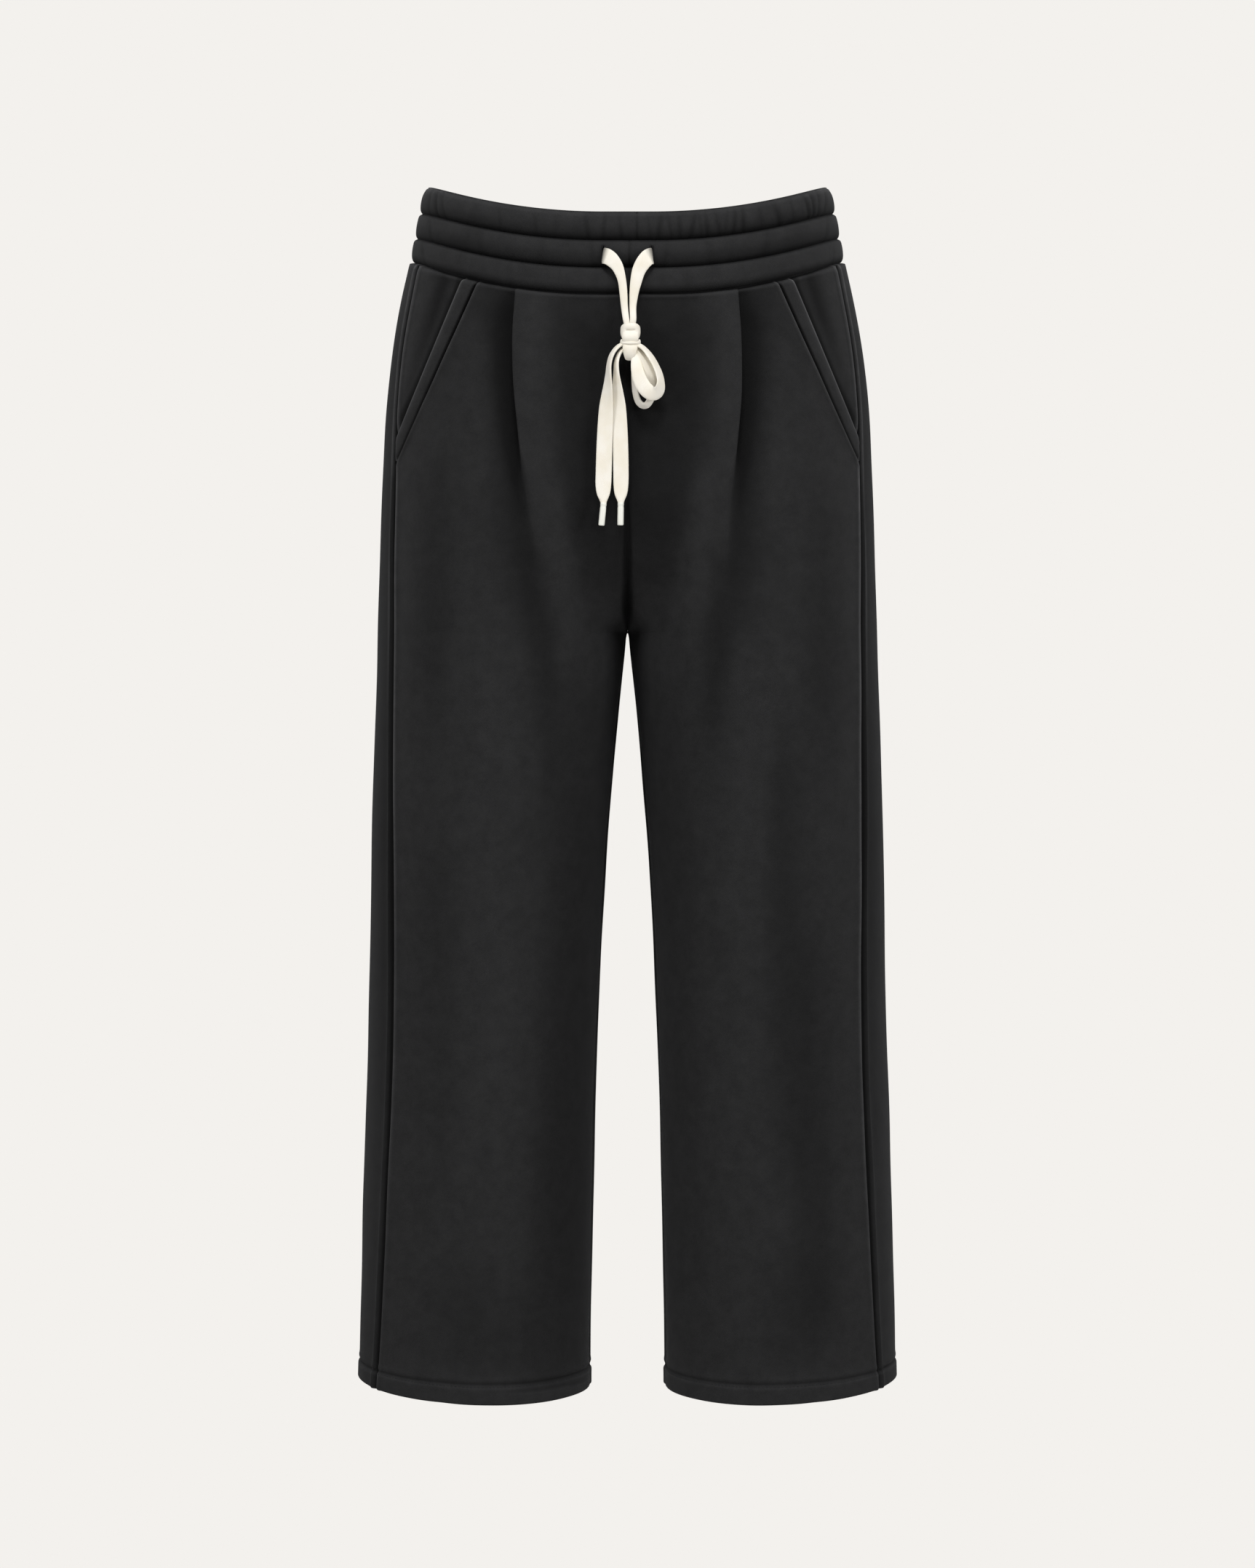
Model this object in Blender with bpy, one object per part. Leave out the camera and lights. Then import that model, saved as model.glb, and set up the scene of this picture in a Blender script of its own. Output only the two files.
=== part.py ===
"""Straight-leg drawcord sweatpants, filled out as when worn, with no wearer inside.

Metres, +Z up. The front faces -Y, the wearer's right leg is at -X, and the origin is the
middle of the waistband ring, where a waist would hold the garment up.

Every cloth piece is a wall between two grids of points on one family of horizontal sections.
An angle runs round each half: -90 degrees at the front centre seam or inner-leg seam, 0 on
the front crown of the leg, 90 at the outermost line, 180 on the back crown and 270 at the
back centre seam or inner-leg seam.
"""
import math

import bpy
import numpy as np
from mathutils import Vector

# Driving sizes
RIM_Z = 0.032               # waist rim at the side seams
OUTSEAM = 1.000             # waist rim to hem edge, down the side
BAND_HEIGHT = 0.062         # waistband at the side seams
FRONT_RISE_Z = -0.215       # where the centre-front seam starts to curve under
BACK_RISE_Z = -0.175        # where the centre-back seam starts to curve under
CROTCH_Z = -0.336
SEAM_VALLEY = 3.0           # how narrow the valley along the centre seams gets at the crotch
HEM_HEIGHT = 0.015          # turned-up hem
CLOTH = 0.0022              # one layer of heavy fleece
HEM_CLOTH = 0.0038          # the hem's two layers
GAP = 0.0003                # between pieces at a seam
HEM_Z = RIM_Z - OUTSEAM
WAIST_SEAM_Z = RIM_Z - BAND_HEIGHT

# How far the edges dip in the middle of the front and of the back
RIM_DIP = (0.028, 0.014)
SEAM_DIP = (0.032, 0.014)
HEM_DIP = (0.007, 0.0)

# Horizontal sections of one half, from the rim to the hem
SECTION_COLUMNS = ("z", "half_width", "front", "back", "inner", "crown", "side_seam", "pleat")
SECTIONS = np.array([
    (0.034, 0.1690, 0.1030, 0.1030, 0.0000, 0.0200, 0.1600, 0.0880),
    (-0.032, 0.1823, 0.1075, 0.1100, 0.0000, 0.0200, 0.1740, 0.0900),
    (-0.060, 0.1889, 0.1100, 0.1150, 0.0000, 0.0250, 0.1798, 0.0915),
    (-0.100, 0.1959, 0.1125, 0.1210, 0.0000, 0.0350, 0.1868, 0.0940),
    (-0.150, 0.2015, 0.1140, 0.1265, 0.0000, 0.0520, 0.1916, 0.0935),
    (-0.200, 0.2046, 0.1140, 0.1290, 0.0000, 0.0700, 0.1928, 0.0888),
    (-0.250, 0.2068, 0.1130, 0.1260, 0.0000, 0.0850, 0.1940, 0.0885),
    (-0.336, 0.2096, 0.1090, 0.1160, 0.0000, 0.1050, 0.1945, 0.0950),
    (-0.405, 0.2117, 0.1040, 0.1080, 0.0073, 0.1095, 0.1953, 0.1030),
    (-0.510, 0.2152, 0.0970, 0.1000, 0.0169, 0.1160, 0.1953, 0.1130),
    (-0.663, 0.2189, 0.0890, 0.0930, 0.0252, 0.1220, 0.1958, 0.1210),
    (-0.850, 0.2247, 0.0830, 0.0880, 0.0302, 0.1275, 0.2040, 0.1275),
    (-0.968, 0.2285, 0.0800, 0.0850, 0.0325, 0.1305, 0.2115, 0.1305),
])

# Slanted pocket: straight lines given by their top and bottom ends, as (x, z)
OPENING_LINE = ((0.1380, -0.0510), (0.1922, -0.1743))
WELT_LINE = ((0.1236, -0.0518), (0.1925, -0.1980))
WELT_CLOTH = 0.0028
WELT_PROUD = 0.0004
WELT_CROWN = 0.0006
WELT_END_Z = -0.194
WELT_SHARES = np.array([0, 0.5, 1.0])
FACING_DEPTH = 0.0030
FACING_CLOTH = 0.0018
FACING_REACH = 0.008        # hidden under the welt
FACING_ROWS = 7             # rows of points from the waist seam to the opening's lower end

# Pleat: the centre side stands proud of a fold line, the outer side sinks beside it
PLEAT_STEP = 0.003
PLEAT_RIDGE = 0.0016
PLEAT_VALLEY = 0.0026
PLEAT_REACH = 0.013
PLEAT_END_Z = -0.225

# Waistband: three puffed channels with two buttonholes in the middle one
CHANNELS = 3
PUFF = 0.0030
GROOVE = 0.0005
BAND_CLOTH = 0.0045
BAND_STEP = 0.004           # least angle between two of its columns
BUTTONHOLE_X = 0.0195
BUTTONHOLE_Z = -0.0311
BUTTONHOLE_SIZE = (0.0040, 0.0080, 0.0164)

# Drawcord: middle line, flat width and thickness of each stretch, in millimetres
# Columns: x, y, z, width, thickness
STRAND_RIGHT = (
    (-19.3, -110.9, -31.0, 12.6, 1.4),
    (-16.6, -113.5, -31.9, 12.6, 1.6),
    (-12.2, -114.0, -35.2, 11.6, 1.8),
    (-7.7, -114.1, -40.5, 9.2, 2.0),
    (-4.3, -114.5, -49.8, 6.6, 2.2),
    (-3.3, -114.6, -60.0, 6.2, 2.4),
    (-2.6, -114.9, -72.0, 5.0, 2.6),
    (-1.2, -117.5, -84.0, 4.0, 2.8),
)
STRAND_LEFT = (
    (19.6, -110.9, -31.3, 12.6, 1.4),
    (16.9, -113.5, -32.3, 12.6, 1.6),
    (12.4, -114.0, -37.0, 12.0, 1.8),
    (8.6, -114.1, -43.6, 10.4, 2.0),
    (6.5, -114.5, -52.4, 8.4, 2.2),
    (5.0, -114.6, -61.0, 6.6, 2.4),
    (3.8, -114.9, -72.0, 4.8, 2.6),
    (4.4, -117.5, -84.0, 4.0, 2.8),
)
LOOP_FRONT = (
    (9.9, -121.4, -105.7, 4.0, 2.4),
    (15.6, -123.3, -108.9, 4.0, 2.4),
    (21.5, -124.5, -115.4, 4.0, 2.4),
    (26.0, -125.0, -123.6, 4.4, 2.4),
    (28.0, -125.2, -132.0, 4.8, 2.4),
    (27.0, -125.4, -139.6, 5.2, 2.4),
    (22.6, -125.6, -144.2, 5.6, 2.4),
    (16.4, -125.6, -142.8, 6.0, 2.4),
    (10.9, -125.2, -135.8, 6.0, 2.4),
    (8.6, -124.2, -125.8, 5.0, 2.4),
    (8.9, -122.0, -112.6, 4.0, 2.4),
)
LOOP_REAR = (
    (10.4, -117.4, -109.4, 3.6, 2.2),
    (13.8, -117.3, -114.6, 4.0, 2.2),
    (17.5, -117.2, -121.5, 4.0, 2.2),
    (19.9, -117.0, -129.8, 4.0, 2.2),
    (20.4, -116.8, -139.0, 4.0, 2.2),
    (19.0, -116.7, -148.0, 4.0, 2.2),
    (15.2, -116.7, -153.0, 4.0, 2.2),
    (10.2, -116.7, -152.0, 4.0, 2.2),
    (6.6, -116.7, -146.5, 4.0, 2.2),
    (4.6, -116.8, -137.0, 4.0, 2.2),
    (3.6, -117.2, -127.0, 4.0, 2.2),
    (3.0, -118.0, -117.2, 3.6, 2.2),
)
TAIL_RIGHT = (
    (-5.3, -119.4, -102.5, 4.0, 2.4),
    (-9.2, -119.9, -104.9, 4.2, 2.4),
    (-12.9, -119.9, -110.6, 4.2, 2.4),
    (-14.8, -119.4, -117.5, 4.6, 2.2),
    (-15.5, -118.6, -126.6, 5.2, 2.0),
    (-15.9, -117.6, -138.0, 6.8, 1.8),
    (-17.2, -116.6, -152.0, 9.2, 1.6),
    (-18.8, -116.1, -184.0, 11.8, 1.6),
    (-19.3, -116.2, -204.0, 12.8, 1.6),
    (-19.6, -116.3, -214.0, 12.6, 1.6),
    (-19.5, -116.4, -222.0, 10.4, 1.8),
    (-19.3, -116.5, -229.2, 4.6, 2.6),
)
TAIL_LEFT = (
    (-4.4, -118.8, -107.6, 3.4, 2.2),
    (-7.1, -119.2, -110.3, 3.6, 2.2),
    (-9.1, -119.1, -116.5, 4.2, 2.2),
    (-9.0, -118.6, -126.6, 5.0, 2.0),
    (-8.3, -117.6, -138.0, 6.8, 1.8),
    (-7.1, -116.6, -152.0, 9.2, 1.6),
    (-5.7, -116.1, -184.0, 11.4, 1.6),
    (-5.4, -116.2, -204.0, 12.0, 1.6),
    (-5.3, -116.3, -214.0, 12.0, 1.6),
    (-5.4, -116.4, -222.0, 10.0, 1.8),
    (-5.4, -116.5, -229.2, 4.6, 2.6),
)
AGLET_RADIUS = 0.0025
AGLETS = {
    "right": ((-0.0193, -0.1165, -0.2298), (-0.0211, -0.1168, -0.2483)),
    "left": ((-0.0054, -0.1165, -0.2296), (-0.0057, -0.1168, -0.2481)),
}
# Knot: oval sections, in millimetres. Columns: z, x, half_x, half_y
KNOT_Y = -119.6
KNOT = (
    (-84.5, 1.6, 4.9, 2.6),
    (-87.0, 2.0, 7.2, 5.0),
    (-92.5, 2.3, 8.4, 6.2),
    (-98.0, 2.6, 8.0, 6.0),
    (-102.5, 3.6, 8.0, 5.6),
    (-105.5, 2.9, 6.4, 5.0),
    (-111.0, 2.2, 5.0, 4.4),
    (-115.0, 1.8, 2.8, 3.0),
    (-116.4, 1.7, 1.0, 1.2),
)

FLEECE = ("black_fleece", (0.022, 0.022, 0.023), 0.92)
CORD = ("cream_cord", (0.80, 0.76, 0.66), 0.85)
TIP = ("white_tip", (0.86, 0.85, 0.80), 0.35)


def at(name, z):
    """Value of a column of SECTIONS at heights z, on a smooth cubic through its rows."""
    heights = SECTIONS[::-1, 0]
    values = SECTIONS[::-1, SECTION_COLUMNS.index(name)]
    slopes = np.gradient(values, heights)
    z = np.clip(z, heights[0], heights[-1])
    row = np.clip(np.searchsorted(heights, z) - 1, 0, len(heights) - 2)
    step = heights[row + 1] - heights[row]
    s = (z - heights[row]) / step
    return ((2 * s**3 - 3 * s**2 + 1) * values[row] + (s**3 - 2 * s**2 + s) * step * slopes[row]
            + (3 * s**2 - 2 * s**3) * values[row + 1] + (s**3 - s**2) * step * slopes[row + 1])


def inner_x(z):
    """The inner-leg line, or half a seam gap beside the middle plane above the crotch."""
    return np.maximum(at("inner", z), GAP / 2)


def fall(z, angle):
    """Share of the way down the front or back rise, from the top of its curve to the crotch."""
    start = np.where(np.cos(angle) >= 0, FRONT_RISE_Z, BACK_RISE_Z)
    return np.clip((start - z) / (start - CROTCH_Z), 0, 1)


def section(z, angle, bridge):
    """x and y of the left half: quarter ellipses round the leg, filled out inside the crowns
    by the bridge, a share of the squared depth."""
    front, across = np.cos(angle) >= 0, np.sin(angle)
    crown, depth = at("crown", z), np.where(front, at("front", z), at("back", z))
    reach = np.where(across > 0, at("half_width", z) - crown, crown - inner_x(z))
    y = depth * np.sqrt(1 - across**2 + np.where(across > 0, 0, bridge))
    return crown + reach * across, np.where(front, -y, y)


def outline(z, angle):
    """x and y of the outer surface of the left half. The bridge is flat at the waist and
    sinks to the centre seam down the rise, in a valley that narrows as it goes."""
    down = fall(z, angle)**2
    return section(z, angle, (1 - down) * np.abs(np.sin(angle))**(2 + 2 * SEAM_VALLEY * down))


def front_angle(x, z):
    """The angle at which the front surface at height z has the given x."""
    crown = at("crown", z)
    reach = np.where(x > crown, at("half_width", z) - crown, crown - inner_x(z))
    return np.arcsin(np.clip((x - crown) / reach, -1, 1))


def dip(level, angle, place):
    """How far an edge at the given level hangs below it; place 0 is the front, 1 the back."""
    fade_z = (FRONT_RISE_Z, BACK_RISE_Z)[place]
    levels = (HEM_Z, HEM_Z + 0.07, fade_z, WAIST_SEAM_Z)
    amount = np.interp(level, levels, (HEM_DIP[place], 0, 0, SEAM_DIP[place]))
    depth = at(("front", "back")[place], level)
    return amount * (outline(level, angle)[1] / depth)**2


def line_x(line, z):
    """x of a straight line, given by two (x, z) ends, at heights z."""
    (x0, z0), (x1, z1) = line
    return x0 + (x1 - x0) * (z - z0) / (z1 - z0)


def drop(levels, angle):
    """Heights of the rows at the given angles, with the dips of the front and the back."""
    front = np.cos(angle) >= 0
    return levels - np.where(front, dip(levels, angle, 0), dip(levels, angle, 1))


def meet(levels, line):
    """The angle at which each row of the front meets the line x = line(z)."""
    z = levels
    for _ in range(8):
        angle = front_angle(line(z), z)
        z = drop(levels, angle)
    return angle


def spread(levels, first, last, shares):
    """Angles and heights of a strip between two angles on each row, its columns at the given
    shares of the row's length, with an even sinking of the seam so that they stay in line."""
    fine = first[:, None] + (last - first)[:, None] * np.linspace(0, 1, 240)
    sinking = (1 - fall(levels[:, None], fine)) * np.sin(fine)
    x, y = section(levels[:, None], fine, sinking**2)
    steps = np.hypot(np.diff(x), np.diff(y))
    run = np.concatenate([np.zeros((len(levels), 1)), np.cumsum(steps, axis=1)], axis=1)
    angle = np.array([np.interp(shares * length[-1], length, angles)
                      for length, angles in zip(run, fine)])
    return angle, drop(levels[:, None], angle)


def on_body(angle, z):
    """Grid of points of the outer surface."""
    x, y = outline(z, angle)
    return np.stack([x, y, z], axis=2)


def unit(vectors):
    """Vectors of length one."""
    return vectors / np.linalg.norm(vectors, axis=-1, keepdims=True)


def normals(angle, z):
    """Outward normals of the outer surface, level on the first and last rows, so that the
    rims are cut square and neighbours meet them face to face."""
    lean, step = 0.01, 0.001
    before = np.maximum(angle - lean, -math.pi / 2)
    after = np.minimum(angle + lean, 1.5 * math.pi)
    across = on_body(after, z) - on_body(before, z)
    down = on_body(angle, z - step) - on_body(angle, z + step)
    normal = unit(np.cross(down, across))
    normal[[0, -1], :, 2] = 0
    return unit(normal)


def wall(name, outer, inner, side, finish):
    """A closed wall between two equal grids of points; side -1 mirrors it to the right leg."""
    rows, columns = outer.shape[:2]
    points = np.concatenate([outer.reshape(-1, 3), inner.reshape(-1, 3)]) * (side, 1, 1)
    index = np.arange(rows * columns).reshape(rows, columns)
    far = rows * columns
    quad = np.stack([index[:-1, :-1], index[1:, :-1], index[1:, 1:], index[:-1, 1:]], axis=2)
    outer_faces = quad.reshape(-1, 4)
    inner_faces = outer_faces[:, ::-1] + far
    rim = np.concatenate([index[0, ::-1], index[1:, 0], index[-1, 1:], index[-2:0:-1, -1]])
    rim_next = np.roll(rim, -1)
    rim_faces = np.stack([rim_next, rim, rim + far, rim_next + far], axis=1)
    faces = np.concatenate([outer_faces, inner_faces, rim_faces])
    if side < 0:
        faces = faces[:, [0, 3, 2, 1]]
    return solid(name, points, faces, finish)


def solid(name, points, faces, finish):
    """A named object of the given points and faces."""
    mesh = bpy.data.meshes.new(name)
    mesh.from_pydata([tuple(point) for point in points], [], [list(face) for face in faces])
    mesh.shade_smooth()
    mesh.set_sharp_from_angle(angle=math.radians(40))
    return place(bpy.data.objects.new(name, mesh), finish)


def place(piece, finish):
    """Give a piece its finish and put it in the garment's collection."""
    name, colour, roughness = finish
    material = bpy.data.materials.get(name) or bpy.data.materials.new(name)
    material.use_nodes = True
    shader = material.node_tree.nodes["Principled BSDF"]
    shader.inputs["Base Color"].default_value = (*colour, 1)
    shader.inputs["Roughness"].default_value = roughness
    shader.inputs["Metallic"].default_value = 0.0
    piece.data.materials.append(material)
    for collection in piece.users_collection:
        collection.objects.unlink(piece)
    garment.objects.link(piece)
    return piece


def panel_levels():
    """Heights of the panels' rows: close together down the rise, where the seam turns under."""
    pocket = np.linspace(WAIST_SEAM_Z - GAP, OPENING_LINE[1][1], FACING_ROWS)
    hip = np.array([WELT_END_Z, FRONT_RISE_Z])
    turn = np.radians(np.arange(15, 91, 15))
    rise = FRONT_RISE_Z - (FRONT_RISE_Z - CROTCH_Z) * np.sin(turn)
    leg = np.array([-0.362, -0.405, -0.470, -0.550, -0.640, -0.740, -0.840, -0.915])
    hem_top = HEM_Z + HEM_HEIGHT
    hem = np.array([hem_top + 0.004, hem_top, hem_top - 0.003, HEM_Z + 0.004, HEM_Z])
    return np.concatenate([pocket, hip, rise, leg, hem])


def hem_roll(levels):
    """Outward swell of the turned-up hem, with a stitched groove along its top."""
    hem_top = HEM_Z + HEM_HEIGHT
    points = (HEM_Z, HEM_Z + 0.004, hem_top - 0.003, hem_top, hem_top + 0.004)
    return np.interp(levels, points, (0.0008, 0.0016, 0.0012, -0.0006, 0))


def thickness(levels):
    """One layer of fleece, and two in the hem."""
    hem_top = HEM_Z + HEM_HEIGHT
    return np.interp(levels, (hem_top - 0.003, hem_top), (HEM_CLOTH, CLOTH))


def pleat_offset(x, z):
    """Outward swell of the pleat: a ridge towards the centre, a valley beside it."""
    away = x - at("pleat", z)
    fade = np.clip((z - PLEAT_END_Z) / (WAIST_SEAM_Z - PLEAT_END_Z), 0, 1)**0.7
    ridge = PLEAT_RIDGE * np.exp(np.minimum(away, 0) / PLEAT_REACH)
    valley = -PLEAT_VALLEY * np.exp(-np.maximum(away, 0) / PLEAT_REACH)
    return fade * np.where(away < 0, ridge, valley)


def square_to_seams(normal, levels, column):
    """Turn the normals on a centre or inner-leg seam so that the wall ends at the seam plane."""
    normal[:, column, 0] = np.minimum(normal[:, column, 0], 0)
    normal[levels < CROTCH_Z + GAP, column, 1] = 0
    return unit(normal)


def pleat_side(shift):
    """The line of the pleat, moved sideways."""
    return lambda z: at("pleat", z) + shift


def front_edge(z):
    """The front panel ends at the pocket welt, and below the pocket at the side seam."""
    return np.minimum(line_x(WELT_LINE, z), at("side_seam", z)) - GAP / 2


def welt_edge(z):
    """The welt ends at the pocket opening, and below it at the side seam."""
    return np.minimum(line_x(OPENING_LINE, z), at("side_seam", z) - GAP / 2)


def front_grid(levels):
    """Angles and heights of a front panel."""
    inner_leg = np.full(len(levels), -math.pi / 2)
    inside = spread(levels, inner_leg, meet(levels, pleat_side(-PLEAT_STEP / 2)),
                    np.array([0, 0.2, 0.4, 0.6, 0.8, 0.92, 1.0]))
    outside = spread(levels, meet(levels, pleat_side(PLEAT_STEP / 2)), meet(levels, front_edge),
                     np.array([0, 0.14, 0.34, 0.56, 0.78, 1.0]))
    return [np.concatenate(pair, axis=1) for pair in zip(inside, outside)]


def back_grid(levels):
    """Angles and heights of a back panel."""
    seam = meet(levels, lambda z: at("side_seam", z) + GAP / 2)
    inner_leg = np.full(len(levels), 1.5 * math.pi)
    return spread(levels, seam, inner_leg, np.linspace(0, 1, 15))


def welt_grid(levels):
    """Angles and heights of a pocket welt."""
    inner_edge = meet(levels, lambda z: line_x(WELT_LINE, z) + GAP / 2)
    return spread(levels, inner_edge, meet(levels, welt_edge), WELT_SHARES)


def facing_grid(levels):
    """Angles and heights of a pocket facing."""
    inner_edge = meet(levels, lambda z: line_x(OPENING_LINE, z) - FACING_REACH)
    seam = meet(levels, lambda z: at("side_seam", z) - GAP / 2)
    return spread(levels, inner_edge, seam, np.linspace(0, 1, 6))


def front_panel(side, name):
    """One front, from the centre and inner-leg seam over the pleat to its outer edge."""
    levels = panel_levels()
    angle, z = front_grid(levels)
    base = on_body(angle, z)
    base[levels < CROTCH_Z + GAP, 0, 1] = -GAP / 2
    normal = square_to_seams(normals(angle, z), levels, 0)
    swell = pleat_offset(base[..., 0], base[..., 2]) + hem_roll(levels)[:, None]
    outer = base + normal * swell[..., None]
    inner = outer - normal * thickness(levels)[:, None, None]
    return wall(name, outer, inner, side, FLEECE)


def back_panel(side, name):
    """One back, which wraps forward to the side seam and ends at the centre-back seam."""
    levels = panel_levels()
    angle, z = back_grid(levels)
    base = on_body(angle, z)
    base[levels < CROTCH_Z + GAP, -1, 1] = GAP / 2
    normal = square_to_seams(normals(angle, z), levels, -1)
    outer = base + normal * hem_roll(levels)[:, None, None]
    inner = outer - normal * thickness(levels)[:, None, None]
    return wall(name, outer, inner, side, FLEECE)


def pocket_welt(side, name):
    """The doubled strip along the slanted opening, slightly crowned across."""
    angle, z = welt_grid(panel_levels()[:FACING_ROWS + 1])
    base, normal = on_body(angle, z), normals(angle, z)
    crown = WELT_PROUD + WELT_CROWN * np.sin(math.pi * WELT_SHARES)
    outer = base + normal * crown[:, None]
    inner = base - normal * (WELT_CLOTH - WELT_CROWN)
    return wall(name, outer, inner, side, FLEECE)


def pocket_facing(side, name):
    """The piece behind the opening: under the welt at one edge, level with the side seam."""
    angle, z = facing_grid(panel_levels()[:FACING_ROWS])
    base, normal = on_body(angle, z), normals(angle, z)
    x, height = base[..., 0], base[..., 2]
    opening = line_x(OPENING_LINE, height)
    width = np.maximum(at("side_seam", height) - opening, GAP)
    share = np.clip((x - opening) / width, 0, 1)
    outer = base - normal * (FACING_DEPTH * (1 - share**2))[..., None]
    inner = outer - normal * FACING_CLOTH
    return wall(name, outer, inner, side, FLEECE)


def band_angles():
    """The columns in which the pieces below reach the waist seam, so that the waistband's
    lower edge has its corners where theirs are."""
    top = np.array([WAIST_SEAM_Z - GAP])
    grids = (front_grid, welt_grid, facing_grid, back_grid)
    angles = np.sort(np.concatenate([grid(top)[0][0] for grid in grids]))
    apart = np.diff(angles) > BAND_STEP
    return angles[np.concatenate([[True], apart])]


def band_ring(angles, share, swell):
    """One ring of the waistband, at a share of its height, moved out by swell."""
    level = RIM_Z - BAND_HEIGHT * share
    place = (np.cos(angles) < 0).astype(int)
    depth = np.where(place, at("back", level), at("front", level))
    rim_dip, seam_dip = np.array(RIM_DIP)[place], np.array(SEAM_DIP)[place]
    bow = (outline(level, angles)[1] / depth)**2
    z = level - (rim_dip + (seam_dip - rim_dip) * share) * bow
    half = np.stack([*outline(z, angles), z], axis=1)
    half[[0, -1], 0] = 0
    ring = np.concatenate([half, half[-2:0:-1] * (-1, 1, 1)])
    along = np.roll(ring, -1, axis=0) - np.roll(ring, 1, axis=0)
    outward = np.stack([along[:, 1], -along[:, 0], 0 * along[:, 0]], axis=1)
    return ring + unit(outward) * swell


def band_profile():
    """Cross-section of the waistband, as shares of its height and outward swells: three
    puffed channels down the outside and a plain wall up the inside."""
    profile = [(0.0, -0.0012)]
    for channel in range(CHANNELS):
        for s in (0.08, 0.32, 0.68, 0.92):
            profile.append(((channel + s) / CHANNELS, PUFF * (1 - abs(2 * s - 1)**3)))
        profile.append(((channel + 1) / CHANNELS, -GROOVE))
    return profile + [(1.0, -BAND_CLOTH), (0.5, -BAND_CLOTH), (0.0, -BAND_CLOTH)]


def waistband(name):
    """A closed ring of doubled fleece, with two buttonholes in front."""
    angles = band_angles()
    rings = np.array([band_ring(angles, share, swell) for share, swell in band_profile()])
    band = tube(name, rings, True, FLEECE)
    for side in (-1, 1):
        cut = band.modifiers.new("buttonhole", "BOOLEAN")
        cut.operation = "DIFFERENCE"
        cut.object = buttonhole_cutter(side)
    return band


def buttonhole_cutter(side):
    """Box that cuts one vertical buttonhole part of the way into the waistband."""
    front_y = outline(BUTTONHOLE_Z, np.array([0.0]))[1][0] - PUFF
    bpy.ops.mesh.primitive_cube_add(size=1, location=(side * BUTTONHOLE_X, front_y, BUTTONHOLE_Z))
    box = bpy.context.object
    box.name = "buttonhole_cutter_" + ("left" if side > 0 else "right")
    box.scale = BUTTONHOLE_SIZE
    bpy.ops.object.transform_apply(location=False, rotation=False, scale=True)
    box.hide_render = True
    box.display_type = "WIRE"
    for collection in box.users_collection:
        collection.objects.unlink(box)
    cutters.objects.link(box)
    return box


def tube(name, rings, closed, finish):
    """A surface through rings of points; closed joins the last ring to the first, and an open
    tube gets a flat cap at each end."""
    count, sides = rings.shape[:2]
    points = rings.reshape(-1, 3)
    index = np.arange(count * sides).reshape(count, sides)
    if closed:
        index = np.concatenate([index, index[:1]])
    index = np.concatenate([index, index[:, :1]], axis=1)
    quad = np.stack([index[:-1, :-1], index[1:, :-1], index[1:, 1:], index[:-1, 1:]], axis=2)
    faces = [list(face) for face in quad.reshape(-1, 4)]
    if not closed:
        faces += [list(index[0, :-1]), list(index[-1, -2::-1])]
    return solid(name, points, faces, finish)


def smooth_path(table, spacing):
    """Rows of a table joined by a Catmull-Rom curve and read at even steps."""
    knots = np.array(table)
    ends = np.concatenate([2 * knots[:1] - knots[1:2], knots, 2 * knots[-1:] - knots[-2:-1]])
    s = np.linspace(0, 1, 9)[:-1, None]
    pieces = []
    for a, b, c, d in zip(ends[:-3], ends[1:-2], ends[2:-1], ends[3:]):
        pieces.append(0.5 * (2 * b + (c - a) * s + (2 * a - 5 * b + 4 * c - d) * s**2
                             + (3 * b - a - 3 * c + d) * s**3))
    fine = np.concatenate(pieces + [knots[-1:]])
    run = np.concatenate([[0], np.cumsum(np.linalg.norm(np.diff(fine[:, :3], axis=0), axis=1))])
    steps = np.linspace(0, run[-1], max(3, round(run[-1] / spacing)))
    return np.stack([np.interp(steps, run, column) for column in fine.T], axis=1)


def cord_stretch(name, table):
    """Flat cord with rounded edges, its face to the front, along a smooth middle line."""
    path = smooth_path(table, 5.0) * 0.001
    middle, width, thick = path[:, :3], path[:, 3:4], path[:, 4:5]
    along = unit(np.gradient(middle, axis=0))
    front = np.array([[0.0, -1.0, 0.0]])
    facing = unit(front - along * (along @ front.T))
    sideways = np.cross(along, facing)
    turn = np.radians(np.arange(22.5, 360, 45))
    rings = (middle[:, None] + sideways[:, None] * (width * np.cos(turn))[..., None] / 2
             + facing[:, None] * (thick * np.sin(turn))[..., None] / 2)
    return tube(name, rings, False, CORD)


def knot(name):
    """One lump of oval sections where the cord is tied."""
    turn = np.radians(np.arange(0, 360, 30))
    rings = [np.stack([x + half_x * np.cos(turn), KNOT_Y + half_y * np.sin(turn), z + 0 * turn],
                      axis=1) for z, x, half_x, half_y in KNOT]
    return tube(name, np.array(rings) * 0.001, False, CORD)


def aglet(side_name):
    """Round sleeve on a free end."""
    top, bottom = (Vector(end) for end in AGLETS[side_name])
    bpy.ops.mesh.primitive_cylinder_add(
        vertices=12, radius=AGLET_RADIUS, depth=(top - bottom).length,
        location=(top + bottom) / 2, rotation=(top - bottom).to_track_quat("Z", "Y").to_euler())
    sleeve = bpy.context.object
    sleeve.name = sleeve.data.name = "aglet_" + side_name
    return place(sleeve, TIP)


for old in list(bpy.data.objects):
    bpy.data.objects.remove(old, do_unlink=True)
garment = bpy.data.collections.new("drawcord_sweatpants")
cutters = bpy.data.collections.new("cutters")
bpy.context.scene.collection.children.link(garment)
bpy.context.scene.collection.children.link(cutters)

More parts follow.
